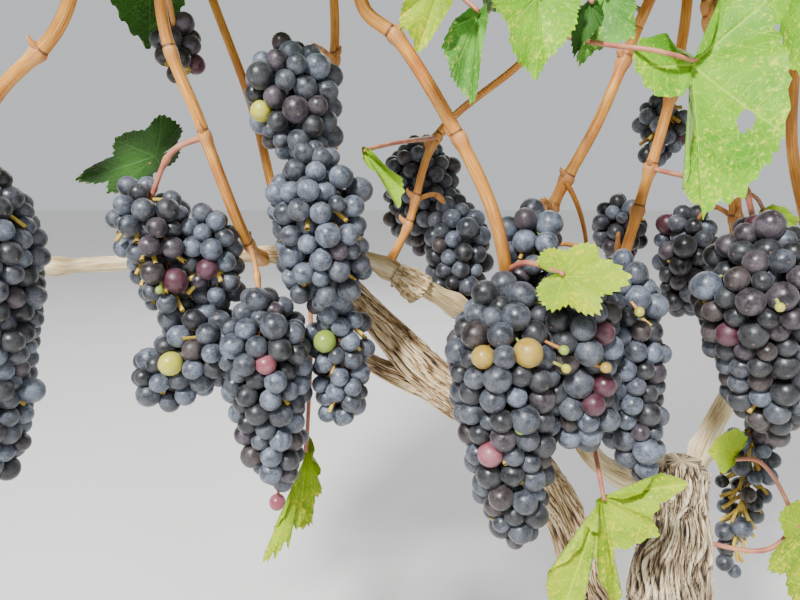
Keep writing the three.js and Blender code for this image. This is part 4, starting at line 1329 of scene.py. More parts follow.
def many_balls(centres, radii, axes, cells, finish):
    """The unit ball at every centre, a little stretched and its pole turned to the axis."""
    points, quads = ball(cells)
    helper = np.where(np.abs(axes[:, 2:3]) > 0.8, [[1.0, 0, 0]], [[0, 0, 1.0]])
    u = unit(np.cross(axes, helper))
    v = np.cross(axes, u)
    frame_of = np.stack([u, v, axes * BERRY_STRETCH], 1)
    placed = np.einsum("pk,nkc->npc", points, frame_of) * radii[:, None, None] + centres[:, None]
    polar = np.arccos(np.clip(points[:, 2], -1, 1)) / np.pi
    chart = unit(points[:, :2] + 1e-9) * polar[:, None]
    faces = np.arange(len(centres))[:, None, None] * len(points) + quads[None]
    corner_map = np.broadcast_to(chart[quads], (len(centres), *chart[quads].shape)).reshape(-1, 4, 2)
    return Shape(placed.reshape(-1, 3), faces.reshape(-1, 4), quad_map=corner_map,
                 finish=np.repeat(finish, len(quads)))


print("faces of a berry, by cells", {cells: len(ball(cells)[1]) for cells in (2, 3, 4)})

# %% [markdown]
# ## Berry skin
#
# A ripe black grape is nearly black under a blue-grey wax. The wax is thick in some places,
# thin in others and rubbed off in fine lines where berries touched. Where it is thick the
# skin is dull, and where it is rubbed it shines. A few berries on each bunch are wine red,
# pink, or still green and yellow, and those have thin wax.


# %% Berry finishes
WIPED_LINES = ((190, 2.6, 0.30), (410, 3.6, 0.45))     # scale, twist and the wax that is left
SCAR_BROWN = "#6b5442"


def berry_finish(name, skin, wax, cover):
    """Skin under wax: the wax lies in clouds, dusted all over, and is wiped off in fine lines
    of two sizes. Its share sets the colour and how dull the berry is."""
    material, shader, add, link = new_material(name)
    place = object_place(add)
    cloud = speckle(add, place, 125, 3.0, 0.5)
    dust = band(add, speckle(add, place, 1500), 0.3, 0.7, -0.12, 0.12)
    plus, minus, times = sums(add)
    wax_share = plus(band(add, cloud, 0.36, 0.64, cover - 0.38, cover + 0.26), dust)
    for scale, twist, left in WIPED_LINES:
        line = calc(add, "ABSOLUTE", minus(speckle(add, place, scale, 2.0, twist), 0.5))
        wax_share = times(wax_share, band(add, line, 0.0, 0.04, left, 1.0))
    from_scar = add("VectorMath", {"operation": "LENGTH"}, _0=own_chart(add)).outputs["Value"]
    scar = band(add, from_scar, 0.020, 0.034, 1.0, 0.0)
    link(blend(add, scar, blend(add, wax_share, skin, wax), SCAR_BROWN), shader.inputs["Base Color"])
    link(band(add, wax_share, 0.1, 0.8, 0.30, 0.56), shader.inputs["Roughness"])
    set_bump(add, link, shader, cloud, 0.15, 0.0004)
    shader.inputs["Sheen Weight"].default_value = 0.12
    shader.inputs["Sheen Roughness"].default_value = 0.4
    return material


berry_skins = [
    berry_finish("berry_blue_black", "#08090e", "#666b76", 0.57),
    berry_finish("berry_dusty", "#0d1017", "#7d8696", 0.62),
    berry_finish("berry_dark", "#070709", "#47494e", 0.50),
    berry_finish("berry_violet", "#120b11", "#645a63", 0.50),
    berry_finish("berry_brown_black", "#100a0a", "#584e4d", 0.50),
    berry_finish("berry_wine_red", "#3f1420", "#5f3f4c", 0.46),
    berry_finish("berry_pink", "#84404a", "#9c6f76", 0.42),
    berry_finish("berry_ochre", "#9d8024", "#b8a05c", 0.36),
    berry_finish("berry_pale_yellow", "#b0ac2e", "#c6c068", 0.34),
    berry_finish("berry_green", "#7c942a", "#9aa850", 0.30),
]
print("berry skins", len(berry_skins))

# %% [markdown]
# ## A skin for every berry
#
# The first six skins are dealt at random, each with its own chance, and a few bunches are
# dustier or darker than the usual. Then the odd berries get theirs: green, ochre, pink or
# wine red ones stand out from the rest, so each is listed with its bunch and place. The
# bunches in front of the camera have finer berries than the last three, far to the right.

# %% Berries
*_, WINE, PINK, OCHRE, PALE_YELLOW, GREEN = range(len(berry_skins))
USUAL = (0.42, 0.24, 0.20, 0.09, 0.04, 0.01)
CHANCES = {3: (0.38, 0.50, 0.06, 0.06, 0.0, 0.0), 8: (0.40, 0.12, 0.28, 0.08, 0.11, 0.01),
           9: (0.34, 0.50, 0.10, 0.04, 0.02, 0.0), 11: (0.26, 0.05, 0.36, 0.11, 0.20, 0.02),
           13: (0.10, 0.02, 0.20, 0.38, 0.24, 0.06), 14: (0.40, 0.36, 0.14, 0.06, 0.04, 0.0)}
ODD_BERRIES = [
    (0, (-414, -110, 568), PALE_YELLOW), (1, (-306, -66, 577), WINE), (1, (-319, -74, 577), WINE),
    (1, (-331, -72, 566), GREEN), (2, (-338, -78, 527), PALE_YELLOW), (2, (-270, -88, 519), PINK),
    (2, (-271, -46, 421), PINK), (3, (-243, -62, 531), GREEN), (3, (-247, -66, 566), PALE_YELLOW),
    (4, (-269, -64, 667), PALE_YELLOW), (8, (-156, -92, 533), OCHRE), (8, (-124, -101, 538), OCHRE),
    (8, (-147, -80, 469), PINK), (8, (-120, -88, 487), GREEN), (8, (-73, -88, 511), WINE),
    (8, (-62, -86, 507), WINE), (8, (-73, -86, 499), WINE), (8, (-98, -93, 535), GREEN),
    (8, (-96, -92, 524), PALE_YELLOW), (8, (-73, -90, 524), OCHRE), (9, (-51, -77, 554), PALE_YELLOW),
    (11, (-11, -130, 550), WINE), (11, (-2, -132, 566), PALE_YELLOW),
]
CLOSE_BUNCHES, SKIN_SEED = 16, 900     # the first sixteen hang in front of the camera


def skins_of(number, centres, layers, rng):
    """A skin for every berry of a bunch, dealt at random, then the odd ones: the outer berry
    nearest to each place that is listed."""
    chances = CHANCES.get(number, USUAL)
    skins = rng.choice(len(chances), len(centres), p=chances)
    for bunch, place, skin in ODD_BERRIES:
        if bunch == number:
            skins[np.argmin(np.linalg.norm(centres - place, axis=1) + 99 * layers)] = skin
    return skins


def on_spine(places, lobes, lobe_of):
    """Where the stalk of each place leaves its lobe's spine: 12 mm above the nearest spot."""
    tops, tips = (np.array([lobe[end] for lobe in lobes], float)[lobe_of] for end in (0, 1))
    axis = unit(tips - tops)
    return tops + axis * np.clip(((places - tops) * axis).sum(1) - 12, 0, None)[:, None]


stalk_ways = []                # of each bunch: where its berries' stalks leave the spine, and which way
for number, ((_, _, _, lobes), (centres, radii, layers, lobe_of, _)) in enumerate(zip(BUNCHES, packed)):
    rng = np.random.default_rng(SKIN_SEED + number)
    on_axis = on_spine(centres, lobes, lobe_of)
    outward = unit(centres - on_axis + rng.normal(0, 2.0, centres.shape))
    finish = skins_of(number, centres, layers, rng)
    fine = 4 if number < CLOSE_BUNCHES else 3
    shapes = [many_balls(centres[pick], radii[pick], outward[pick], cells, finish[pick])
              for pick, cells in ((layers == 0, fine), (layers == 1, 2)) if pick.any()]
    piece(f"berries_{number + 1}", stacked(shapes), berry_skins, [f"bunch_{number + 1}"])
    stalk_ways.append((on_axis, outward))

# %% [markdown]
# ## Stalks of the bunches
#
# The main stalk comes off the shoot, bends over and runs down the middle of the bunch as its
# spine. Each berry hangs on a short stalk of its own from the spine. Much of it hides behind
# the berries, but yellow green and rust-red bits show in every gap.

# %% Stalks of the bunches
stalk_rust = speckled("stalk_rust", 0.6, 120, [(0.3, "#9c5c2c"), (0.7, "#d39a4e")])
stalk_straw = speckled("stalk_straw", 0.6, 150, [(0.3, "#a8842c"), (0.7, "#d8bd58")])
RED_STALK, GREEN_STALK, RUST_STALK, STRAW_STALK = range(4)
PINK_STALKED = (0, 1, 11)      # bunches that hang on a pink stalk


def berry_stalks(berry, lobes, bunch, on_axis, outward):
    """Straight stalks from the spine to every berry, green and rust-red in turn, and bent
    ones to the places that berries have dropped from."""
    centres, radii, _, lobe_of, bare = bunch
    feet = centres - outward * radii[:, None] * 0.8
    stalks = []
    if len(bare):
        nearest = np.linalg.norm(bare[:, None] - centres[None], axis=2).argmin(1)
        spots = on_spine(bare, lobes, lobe_of[nearest])
        bare = bare + unit(bare - spots) * (berry * 0.5)
        bows = (bare - spots)[:, [1, 2, 0]] * 0.06
        stalks.append(many_tubes(spots, bare, bows, 0.9, 1.5, sides=5, steps=4, finish=STRAW_STALK))
    for turn, finish in enumerate((GREEN_STALK, RUST_STALK)):
        pick = np.arange(len(centres)) % 2 == turn
        stalks.append(many_tubes(on_axis[pick], feet[pick], np.zeros((pick.sum(), 3)), 0.8, 1.1,
                                 sides=4, steps=1, finish=finish))
    return stalks


def main_stalk(start, bow, end, finish):
    """A stalk from the shoot to a lobe: thicker where it starts, and at a knee on its way."""
    centres, _, along = even_route([start, bow, end], 2.5)
    knee = 1 + 0.45 * np.exp(-((along - along[-1] * 0.45) / 3.0) ** 2) + 0.5 * np.exp(-along / 4)
    return tube(centres, along, np.repeat((1.7 * knee)[:, None], 8, 1), finish=finish)


bunch_stalks = []
for number, ((shoot, node, berry, lobes), ways) in enumerate(zip(BUNCHES, stalk_ways)):
    bunch_stalks += berry_stalks(berry, lobes, packed[number], *ways)
    heads = [np.array(lobe[0], float) for lobe in lobes]
    for k, lobe in enumerate(lobes):
        tip = np.array(lobe[1], float)
        start = heads[0] if k else stems[shoot].place(node)
        bow = (start + heads[k]) / 2 + np.array([0, 0, 0 if k else 10])
        end = heads[k] + (tip - heads[k]) * 0.1
        finish = GREEN_STALK if k else RED_STALK if number in PINK_STALKED else RUST_STALK
        bunch_stalks.append(main_stalk(start, bow, end, finish))
        spine = [end, (end + tip) / 2 + 1.0, tip]
        bunch_stalks.append(stalk_tube(spine, 2.1, 1.0, GREEN_STALK, sides=6, step=6))
piece("bunch_stalks", stacked(bunch_stalks), [stalk_red, stalk_green, stalk_rust, stalk_straw],
      [f"bunch_{number + 1}" for number in range(len(BUNCHES))])

# %% [markdown]
# ## Canes
#
# The two fruiting canes rise from the head of the trunk, turn over and lie level. They are
# weathered straw grey, with long fine cracks and a knuckle every hand's breadth. The left one
# has a rough, splintered knuckle where it turns level. The noise is the same as in the old
# wood, and on the canes its relief is shallower.


# %% Canes
def jointed(along, joints, swelling, width):
    """1 between joints, and up to 1 plus the swelling at each joint over its width."""
    near = np.exp(-((along[:, None] - np.asarray(joints)[None]) / width) ** 2)
    return 1 + swelling * near.max(1, initial=0)


def cane_shape(points, joints, seed):
    """A taper that swells at its joints, under fine fibres and long cracked strips. The strips
    wind a little round the cane, and their relief sets its lightness too: darker where it is low,
    partly the cane's own colour and partly painted shade."""
    centres, shares, along = even_route(points, 1.6)
    angle_grid, along_grid = np.meshgrid(ring_angles(28), along)
    turn = (angle_grid + 0.3 * np.sin(along_grid / 60)) / (2 * np.pi) % 1
    fibre = smooth_noise(turn * 14, along_grid / 38, 14, seed)
    edge, own, _ = plates(turn * 7, along_grid / 70, 7, seed + 3)
    strip = step_up(edge, 0.0, 0.16)
    form = mix(CANE_RADIUS, shares) * jointed(along, joints, 0.34, 7.0)
    height = 0.55 * fibre + 0.7 * strip * (0.4 + own) - 0.7
    # lightness follows the fibres and strips of the relief: darker where it is low, partly the cane's own
    # colour, partly painted shade
    light = 0.35 + 0.35 * fibre + 0.3 * strip * own
    return tube(centres, along, form[:, None] + height, mark=light)


old_cane = bark_finish("old_cane", [
    (0.0, "#4a3420"), (0.22, "#8f714c"), (0.45, "#c1a677"), (0.70, "#dac69c"), (1.0, "#ecdfbf")], 0.85)
LEFT_JOINTS = [30, 105, 178, 215, 268, 345, 420, 500, 575]     # lengths from the foot of the cane
RIGHT_JOINTS = [35, 110, 180, 215, 285, 350, 420]
broken_knuckle = bark_limb([[-174, 2, 555], [-183, 1, 562], [-192, 3, 567]], knotty((9.5, 8.0), SPUR_BEAT),
                           72, 0.9, seed=17, strip=3.0, length=9, depth=0.9)
left_cane_shape = stacked([cane_shape(LEFT_CANE, LEFT_JOINTS, 41), broken_knuckle])
piece("left_fruiting_cane", left_cane_shape, [old_cane], ["left_rise", "left_cane"])
piece("right_fruiting_cane", cane_shape(RIGHT_CANE, RIGHT_JOINTS, 42), [old_cane],
      ["right_rise", "right_cane"])

# %% [markdown]
# ## Shoots
#
# A shoot is a slim tube that swells at its joints. Below the crown the skin is fine, as the
# camera comes close to it. Above, among the leaves, fewer rings are enough. Its colour goes
# from ripe orange brown to green with height, in fine streaks.

# %% Joints and skin of a shoot
FRUIT_ZONE_LEAVES = [      # shoot, height of its joint, bends of the leaf's stalk, where it meets the blade
    (6, 742, [(-92, -40, 716), (-84, -92, 699), (-64, -110, 692)], (-40, -105, 688)),
    (6, 752, [(-90, -40, 748)], (-79, -80, 727)),
    (6, 766, [(-108, -56, 750)], (-120, -104, 721)),
    (6, 760, [(-96, -50, 748)], (-92, -98, 718)),
    (5, 745, [(-170, -92, 730)], (-150, -100, 713)),
    (5, 760, [(-178, -98, 745)], (-170, -110, 725)),
    (9, 734, [(12, -44, 740)], (26, -84, 738)),
    (3, 784, [(-345, -2, 790)], (-352, -2, 790)),
    (6, 660, [(-192, -50, 652)], (-210, -86, 645)),
    (8, 640, [(30, -34, 622)], (26, -60, 612)),
]
BARE_JOINTS = [(5, 652), (5, 706), (7, 632), (2, 700), (6, 600), (4, 660), (8, 610), (1, 700)]
SIDE_STALKS = [            # start, end, bow, first and last radius
    ((-124, -42, 566), (-113, -40, 543), (-1, 0, 0), 3.0, 1.9),
    ((-124, -42, 566), (-102, -36, 549), (2, 0, 3), 3.0, 1.9),
    ((-77, 2, 630), (-61, 2, 588), (2, 0, 2), 2.0, 1.4),
]
FRUIT_ZONE_TOP = 860       # up to here a bud shows over each joint
for shoot, node, *_ in [*BUNCHES, *FRUIT_ZONE_LEAVES, *BARE_JOINTS]:
    stems[shoot].joints.append(node)
print("joints of each shoot", [len(stem.joints) for stem in stems])


def shoot_skin(stem, low, high, step, sides, lowest):
    """A stretch of a shoot from one height to another, with five faint ribs. Each joint swells
    unevenly. On the lowest stretch, which flares where it stands on the cane, a joint also
    has a dark groove round its upper end, marked with numbers below zero."""
    start = 0.0 if lowest else stem.share(low)
    centres, _, along = even_route(stem.route, step, start, stem.share(high))
    joints = np.interp(stem.joints, centres[:, 2], along, left=-999, right=-999)
    radius = stem.radius(centres[:, 2]) * jointed(along, joints, 0.34, 4.6)
    if lowest:
        radius = radius * (1 + 0.85 * np.exp(-along / 7.0))
    apart = along[:, None] - joints[None]
    swell = np.exp(-(apart / 6.0) ** 2).max(1)
    groove = np.exp(-((apart - 3.6) / 0.9) ** 2).max(1)
    angle = ring_angles(sides)
    ribs = (1 + 0.035 * np.sin(angle * 5 + stem.index)[None]
            + 0.10 * swell[:, None] * np.sin(angle * 2 + stem.index)[None])
    mark = swell - 2.2 * groove if lowest else swell
    return tube(centres, along, radius[:, None] * ribs * (1 - 0.12 * groove * lowest)[:, None],
                mark=mark[:, None] * np.ones((1, sides)))


young_shoot, shader, add, link = new_material("young_shoot", 0.5)
place = object_place(add)
height_up = add("SeparateXYZ", Vector=place).outputs["Z"]
streak = fibres(add, 1500, 45, 3.0)
patch = speckle(add, place, 34, 3.0)
ripe = ramp(add, streak, [(0.28, "#a85f16"), (0.5, "#cc882c"), (0.75, "#e8b866")])
red = ramp(add, streak, [(0.28, "#8e4618"), (0.75, "#c2702e")])
ripe = blend(add, band(add, patch, 0.46, 0.66, 0, 0.6), ripe, red)
green = ramp(add, streak, [(0.3, "#6c8034"), (0.7, "#9aa652")])
body = blend(add, band(add, height_up, 0.95, 1.35), ripe, green)
mark = point_mark(add)
body = blend(add, band(add, mark, 0.3, 1.0, 0, 0.5), body, "#b98254")
link(blend(add, band(add, mark, -0.8, -0.1, 0.9, 0.0), body, "#5a3320"), shader.inputs["Base Color"])
set_bump(add, link, shader, streak, 0.35, 0.0006)
print("shoot finish", young_shoot.name)

# %% [markdown]
# ## Shoots, buds and side stalks
#
# Every shoot is two tubes, a fine one up to its first leaves and a plain one above. A bud
# stands over each joint, on alternate sides, and two shoots fork into short side stalks.

# %% Young shoots
skins = []
for stem in stems:
    skins.append(shoot_skin(stem, stem.foot, stem.leaves + 40, 1.4, 16, True))
    skins.append(shoot_skin(stem, stem.leaves + 40, stem.tip, 8.0, 10, False))
low_joints = [(stem, at, number) for stem in stems for number, at in enumerate(stem.joints)
              if at < FRUIT_ZONE_TOP]
starts = np.array([stem.place(at + 2) for stem, at, _ in low_joints])
bearings = [35 + 180 * (number % 2) + 25 * stem.index for stem, _, number in low_joints]
sides_out = np.array([heading(bearing, 0) for bearing in bearings])
widths = np.array([stem.radius(at) for stem, at, _ in low_joints])[:, None]
skins.append(many_tubes(starts + sides_out * widths * 0.5, starts + sides_out * (widths + 3.5) + [0, 0, 6],
                        sides_out * 1.6, 2.7, 0.5, sides=7, steps=4, mark=0.9))
starts, ends, bows, first, last = (np.array(part, float) for part in zip(*SIDE_STALKS))
skins.append(many_tubes(starts, ends, bows, first, last, sides=9, steps=8, mark=0.2))
piece("young_shoots", stacked(skins), [young_shoot], [f"shoot_{stem.index + 1}" for stem in stems])

# %% [markdown]
# ## Leaves seen from close by
#
# Some leaves hang into the fruit zone, right in front of the camera. There a vein can't be
# as coarse as the mesh, so the finish works it out on the blade's flat map. The green is
# deeper in places, pale blotches gather towards the rim, and the blade is cushioned between
# its veins. The underside has a colour of its own.


# %% Finishes of the close leaves
def vein_net(add, own_map):
    """1 on the veins of a blade and 0 between them, worked out on its flat map. Both halves
    are the same, so the place across the midrib counts without its sign. For each main vein
    comes the distance to its ray, then its side veins at their spacing, then a fine net."""
    plus, minus, times = sums(add)
    spot = add("SeparateXYZ", Vector=own_map).outputs
    x, y = spot["X"], calc(add, "ABSOLUTE", spot["Y"])
    out = calc(add, "SQRT", plus(times(x, x), times(y, y)))
    width = band(add, out, 0.0, BLADE_TIP, 0.0095, 0.0035)
    main = side = 0.0
    for degrees in MAIN_VEINS:
        cosine, sine = math.cos(math.radians(degrees)), math.sin(math.radians(degrees))
        ahead = plus(times(x, cosine), times(y, sine))
        aside = calc(add, "ABSOLUTE", minus(times(y, cosine), times(x, sine)))
        forward = calc(add, "GREATER_THAN", ahead, 0.0)
        thin = minus(1.0, calc(add, "MINIMUM", calc(add, "DIVIDE", aside, width), 1.0))
        main = calc(add, "MAXIMUM", main, times(thin, forward))
        step = calc(add, "DIVIDE", minus(ahead, times(aside, 0.9)), SIDE_VEIN_SPACING)
        gap = calc(add, "ABSOLUTE", minus(step, calc(add, "ROUND", step)))
        near = times(calc(add, "LESS_THAN", aside, times(ahead, 0.38)), forward)
        near = times(near, calc(add, "GREATER_THAN", step, 0.4))
        side = calc(add, "MAXIMUM", side, times(near, band(add, gap, 0.0, 0.045, 1.0, 0.0)))
    cells = add("TexVoronoi", {"feature": "DISTANCE_TO_EDGE"}, Vector=own_map, Scale=34.0)
    return main, side, band(add, cells.outputs["Distance"], 0.0, 0.10, 1.0, 0.0)


def close_finish(name, deep, green, blotch, vein, blotches, roughness=0.5):
    """A leaf seen from close by: clouds from deep to green, blotches where a fine noise and a
    broad one and the way from the stalk add up, then the net and the veins over them. Veins
    and net are sunk, and the fine noise stands up."""
    material, shader, add, link = new_material(name, roughness)
    place, own_map = object_place(add), own_chart(add)
    plus, _, times = sums(add)
    main, side, net = vein_net(add, own_map)
    body = ramp(add, speckle(add, place, 46, 4.0), [(0.34, deep), (0.62, green)])
    far = add("VectorMath", {"operation": "LENGTH"}, _0=own_map).outputs["Value"]
    fine = speckle(add, place, 420, 3.0)
    pale = plus(fine, band(add, speckle(add, place, 60), 0.35, 0.65, -0.05, 0.05))
    pale = plus(pale, band(add, far, 0.1, 0.6, -0.06, 0.04))
    spots = band(add, pale, 0.66 - 0.22 * blotches, 0.78 - 0.16 * blotches, 0, 0.85)
    body = blend(add, spots, body, blotch)
    body = blend(add, times(net, 0.30), body, vein)
    body = blend(add, times(side, 0.75), body, vein)
    link(blend(add, times(main, 0.95), body, vein), shader.inputs["Base Color"])
    sunk = plus(times(plus(main, side), -0.6), times(net, -0.4))
    set_bump(add, link, shader, plus(sunk, times(fine, 0.5)), 0.45, 0.0009)
    shader.inputs["Specular IOR Level"].default_value = 0.25
    return material


close_finishes = [
    close_finish("close_green", "#32701a", "#599a30", "#a6bc48", "#98be60", 0.3),
    close_finish("close_mid", "#4c8c08", "#72ac10", "#bccc30", "#a6c83c", 0.5),
    close_finish("close_yellow", "#688e00", "#92b000", "#cdc21c", "#bac82a", 0.55),
    # the next finish is the close green darkened as painted shade, for leaves that hang in shadow
    close_finish("close_painted_shade", "#1d3d0a", "#2d5914", "#567a34", "#4f7834", 0.1),
    close_finish("close_bright", "#5e8c08", "#86b012", "#b4c634", "#b6cc44", 0.2),
    close_finish("leaf_under", "#6f8c4c", "#8da866", "#aebd80", "#bccb92", 0.2, 0.75),
]
CLOSE_GREEN, CLOSE_MID, CLOSE_YELLOW, CLOSE_PAINTED_SHADE, CLOSE_BRIGHT, UNDER, STALK = range(7)
print("finishes of the close leaves", len(close_finishes))

# %% [markdown]
# ## A blade with two sides
#
# A close leaf is two blades of the same outline that meet at the rim, the lower one turned
# over so that its faces point down. Both are many rings of many rays, so that folds and
# teeth come out clear.

# %% Close leaves
CLOSE_TEETH, CLOSE_QUILT, SHEET = 46, 0.006, 0.006     # the last two in the leaf's length
HANGING_SEED, LOW_SEED = 11, 31
close_columns = np.linspace(-np.pi, np.pi, 181)[:-1]


def close_leaf(joint, tip, face, seed, finish, fold=0.08, bite=0.075, **shaped):
    """A full leaf from the joint of its stalk to its tip, with its upper side to face."""
    axes = blade_frame(joint, tip, face)
    length = np.linalg.norm(np.asarray(tip, float) - joint) / BLADE_TIP
    rings = int(np.clip(length / 5.5, 8, 18))
    upper, under = (leaf_blade(axes, length, close_columns, rings, CLOSE_TEETH, bite, seed, fold,
                               CLOSE_QUILT, skin, sheet=sheet, **shaped)
                    for skin, sheet in ((finish, 0.0), (UNDER, SHEET)))
    under.quads, under.quad_map = under.quads[:, ::-1], under.quad_map[:, ::-1]
    under.tris, under.tri_map = under.tris[:, ::-1], under.tri_map[:, ::-1]
    return stacked([upper, under])


sample = close_leaf((0, 0, 80), (0, 0, 0), (0, -1, 0), 1, CLOSE_GREEN)
print("a close leaf has", 2 * len(sample.quads) + len(sample.tris), "triangles")

# %% [markdown]
# ## Forms of the close leaves
#
# Hung between shoots and bunches, no two of these leaves lie alike. Most are crumpled, turned
# or seen at a slant, so they get a form of their own: for the angles of the flat outline that
# matter, from 180 degrees round to -180, where the rim has come to lie. The first number is
# the angle, then come the places across and along, in mm from the stalk's joint.

# %% Forms of the close leaves
FORMS = {
    "large": [
        (180, 2, -3), (165, 7, -8), (150, 11, -23), (138, 13, -33), (122, 25, -37), (106, 34, -29),
        (95, 37, -15), (80, 45, -2), (62, 45, 13), (50, 43, 39), (36, 40, 51), (27, 33, 60), (20, 28, 70),
        (8, 13, 74), (0, 7, 81), (-6, 4, 75), (-14, -6, 68), (-22, -2, 56), (-31, -4, 48), (-40, -3, 33),
        (-50, -6, 23), (-62, -6, 16), (-70, -4, 12), (-78, -8, 19), (-88, -20, 19), (-96, -27, 14),
        (-106, -33, 4), (-116, -33, -6), (-126, -29, -12), (-138, -16, -14), (-150, -13, -5),
        (-165, -3, 0), (-180, 0, -3)],
    "behind": [
        (180, 1, -3), (150, 8, -5), (130, 14, -1), (106, 17, 6), (83, 13, 13), (66, 14, 20), (50, 14, 26),
        (31, 5, 28), (14, -6, 30), (0, -13, 37), (-14, -17, 34), (-31, -14, 28), (-50, -16, 20),
        (-66, -9, 15), (-83, -10, 7), (-106, -12, 0), (-130, -8, -4), (-150, -4, -3), (-180, 0, -3)],
    "centre": [
        (180, 0, -3), (150, 10, -7), (125, 19, -2), (106, 22, 5), (85, 19, 11), (66, 17, 20),
        (50, 14, 25), (31, 10, 30), (18, 3, 37), (0, -1, 44), (-10, -5, 39), (-25, -11, 36),
        (-38, -16, 28), (-50, -17, 18), (-66, -20, 16), (-83, -26, 12), (-106, -26, 4), (-130, -20, -3),
        (-152, -10, -5), (-180, -1, -3)],
    "dark": [
        (180, 1, -1), (130, 4, 3), (106, 6, 9), (80, 5, 13), (50, 1, 16), (31, -2, 20), (14, -5, 23),
        (0, -9, 28), (-14, -10, 21), (-31, -11, 15), (-50, -13, 8), (-83, -10, 5), (-106, -6, 3),
        (-150, -2, -1), (-180, -1, -1)],
    "edge_on": [
        (180, 1, -3), (150, 3, -2), (106, 4, 7), (80, 3, 13), (50, 0, 31), (25, -1, 43), (0, -3, 50),
        (-14, -7, 45), (-31, -10, 41), (-50, -15, 36), (-70, -17, 28), (-90, -20, 21), (-106, -16, 13),
        (-130, -13, 6), (-150, -5, -1), (-180, -1, -3)],
    "top": [
        (180, 1, -3), (140, 10, -2), (106, 14, 5), (80, 7, 11), (50, 2, 18), (30, -2, 26), (15, -7, 33),
        (0, -12, 36), (-14, -16, 28), (-30, -21, 25), (-50, -21, 18), (-70, -19, 12), (-90, -20, 6),
        (-106, -21, 0), (-130, -15, -5), (-150, -5, -4), (-180, -1, -3)],
    "trunk": [
        (180, 2, -3), (160, 5, -3), (140, 10, -2), (128, 22, -7), (118, 29, -17), (112, 36, -20),
        (106, 53, -12), (98, 45, -7), (88, 34, 0), (75, 29, 10), (62, 33, 15), (50, 37, 23), (38, 20, 28),
        (28, 16, 31), (22, 7, 31), (14, 6, 48), (6, 13, 62), (0, 11, 70), (-6, 5, 66), (-12, 2, 61),
        (-18, -5, 48), (-26, -6, 35), (-30, -8, 38), (-36, -10, 50), (-42, -13, 66), (-50, -28, 76),
        (-56, -37, 66), (-62, -37, 46), (-68, -25, 38), (-78, -15, 28), (-90, -13, 15), (-100, -9, 19),
        (-106, -6, 19), (-130, -6, 7), (-150, -6, 0), (-180, 0, -3)],
    "withered": [
        (180, 0, -8), (150, 2, -11), (125, 7, -3), (106, 5, 4), (95, 9, 7), (80, 12, 12), (68, 9, 17),
        (55, 12, 27), (45, 10, 32), (36, 6, 35), (28, 5, 42), (18, 4, 53), (8, 0, 56), (0, -7, 59),
        (-8, -12, 56), (-16, -13, 70), (-22, -16, 66), (-30, -21, 75), (-38, -24, 73), (-46, -29, 80),
        (-54, -31, 75), (-62, -22, 66), (-72, -24, 56), (-84, -16, 47), (-98, -12, 36), (-110, -8, 31),
        (-120, -9, 23), (-135, -2, 17), (-150, -2, 9), (-180, -2, -5)],
    "slanting": [
        (180, 0, -2), (106, 4, 0), (70, 9, 6), (50, 16, 13), (25, 22, 16), (10, 23, 22), (0, 20, 33),
        (-14, 16, 25), (-31, 13, 19), (-50, 10, 15), (-83, 4, 12), (-106, 0, 6), (-180, -1, -1)],
    "turned_up": [
        (180, 1, 1), (130, -2, 5), (106, -5, 8), (75, -9, 10), (50, -13, 7), (25, -14, 2), (0, -19, -5),
        (-25, -16, -11), (-40, -13, -16), (-50, -8, -20), (-75, -2, -23), (-90, 3, -22), (-106, 9, -16),
        (-130, 7, -10), (-150, 3, -6), (-180, 1, -2)],
    "small": [
        (180, -1, -1), (106, 5, -4), (70, 12, -2), (50, 16, 2), (20, 21, 5), (0, 21, 9), (-20, 13, 10),
        (-50, 3, 11), (-83, -1, 7), (-106, -4, 2), (-180, -2, -1)],
}
print("forms", {name: len(form) for name, form in FORMS.items()})

# %% [markdown]
# ## Leaves that hang from the shoots
#
# These ten hang down and a little forward from joints among the bunches and just above them,
# and face the viewer. The large one in the middle has a hole. Each has a stalk along its own
# route.

# %% Hanging leaves
TO_VIEWER = (0, -0.95, 0.3)
HANG = unit(np.array([0, -10, -60.0]))
HOLE = (np.array([0.297, 0.257]), np.array([0.057, 0.036]))    # middle, half width
HANGING_LOOKS = [              # height of the blade, its finish and form, and what else differs
    (81, dict(finish=CLOSE_MID, form=FORMS["large"], bite=0.05, hole=HOLE)),
    (60, dict(finish=CLOSE_GREEN, form=FORMS["behind"])),
    (60, dict(finish=CLOSE_MID, form=FORMS["centre"], fold=0.16)),
    # painted shade: this leaf hangs in shadow and takes the darkened green
    (40, dict(finish=CLOSE_PAINTED_SHADE, form=FORMS["dark"])),
    (60, dict(finish=CLOSE_GREEN, form=FORMS["edge_on"], fold=0.2)),
    (60, dict(finish=CLOSE_YELLOW, form=FORMS["top"])),
    (60, dict(finish=CLOSE_MID)),
    # painted shade: this leaf hangs in shadow and takes the darkened green
    (78, dict(finish=CLOSE_PAINTED_SHADE)),
    (40, dict(finish=CLOSE_BRIGHT, form=FORMS["slanting"], fold=0.2)),
    (24, dict(finish=CLOSE_BRIGHT, form=FORMS["small"])),
]
hanging = []
for number, (leaf, (height, looks)) in enumerate(zip(FRUIT_ZONE_LEAVES, HANGING_LOOKS)):
    shoot, node, bends, joint = leaf
    joint = np.array(joint, float)
    hanging.append(close_leaf(joint, joint + height * HANG, TO_VIEWER, HANGING_SEED + number, **looks))
    hanging.append(stalk_tube([stems[shoot].place(node), *bends, joint], 1.7, 1.2, STALK))
piece("hanging_leaves", stacked(hanging), close_finishes + [stalk_red],
      [f"leaves_{shoot + 1}" for shoot, *_ in FRUIT_ZONE_LEAVES])

# %% [markdown]
# ## Low leaves
#
# Six more grow from the canes, a shoot and the trunk, on five stalks of which one forks. Each
# stalk with its blades takes the place of one solid. They are the oldest leaves of the plant,
# so most of them have turned yellow, and one is withered.

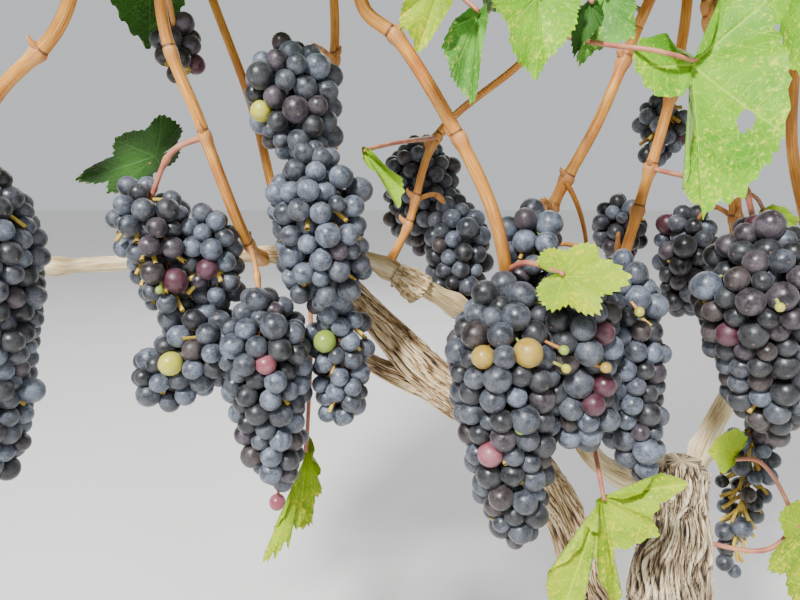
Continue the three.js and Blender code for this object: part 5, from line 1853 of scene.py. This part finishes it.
# %% Low leaves
LOW_LEAVES = [                 # node, way of the stalk, and for each blade its joint, tip, face and looks
    ("low_leaf_left", [(-256, 5, 580), (-253, 2, 530), (-256, -12, 442)], [
        ((-256, -12, 442), (-256, -25, 363), TO_VIEWER,
         dict(finish=CLOSE_YELLOW, form=FORMS["withered"], fold=0.10, bite=0.08))]),
    ("low_leaf_centre", [(-124, -45, 574), (-116, -70, 582), (-100, -94, 578)], [
        ((-100, -94, 578), (-63, -102, 579), (0.1, -0.75, 0.6),
         dict(finish=CLOSE_YELLOW, fold=-0.16, bite=0.10))]),
    ("low_leaf_trunk", [(-57, 13, 474), (-61, -30, 462), (-62, -66, 432)], [
        ((-62, -66, 432), (-62, -79, 353), TO_VIEWER,
         dict(finish=CLOSE_YELLOW, form=FORMS["trunk"], fold=0.10, bite=0.06))]),
    ("low_leaf_right", [(20, -4, 372), (70, -20, 372), (84, -24, 392), (72, -22, 424), (58, -20, 439),
                        (44, -18, 439)], [
        ((44, -18, 439), (44, -22, 415), TO_VIEWER,
         dict(finish=CLOSE_YELLOW, form=FORMS["turned_up"], bite=0.08)),
        ((100, -26, 388), (92, -36, 332), (0.2, -0.8, 0.4), dict(finish=CLOSE_YELLOW))]),
    ("low_leaf_back", [(-352, 4, 577), (-366, 20, 620), (-370, 30.4, 643.8)], [
        # painted shade: this leaf hangs in shadow at the back and takes the darkened green
        ((-370, 34, 652), (-428, 30, 632), (0, -0.6, 0.8), dict(finish=CLOSE_PAINTED_SHADE))]),
]
SIDE_STALK = ([[84, -24, 392]], [[100, -26, 388]])     # carries the second blade on the right
low = []
for number, (name, stalk_way, blades) in enumerate(LOW_LEAVES):
    low.append(stalk_tube(stalk_way, 1.9, 1.4, STALK))
    low += [close_leaf(joint, tip, face, LOW_SEED + 3 * number + k, **looks)
            for k, (joint, tip, face, looks) in enumerate(blades)]
low.append(many_tubes(*SIDE_STALK, [[0, 0, 1]], 1.6, 1.4, sides=8, steps=4, finish=STALK))
piece("low_leaves", stacked(low), close_finishes + [stalk_red],
      [name for name, *_ in LOW_LEAVES])

# %% [markdown]
# ## The box, and the end
#
# The last cell prints the triangles, and how far the dressed plant has grown past the solids'
# box, where leaves may stand proud. The dressed plant has to stay in the solids' box, give or
# take what leaves may stand proud.

# %% Finish
size = {"cad": cad_box, "visual": [list(corner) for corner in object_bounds()]}
print("all", sum(made.values()), "triangles in", len(made), "pieces")
grown = (np.array(size["visual"]) - size["cad"]) / MM * [[-1], [1]]
print("grown past the solids' box, mm", grown.round(1).tolist())
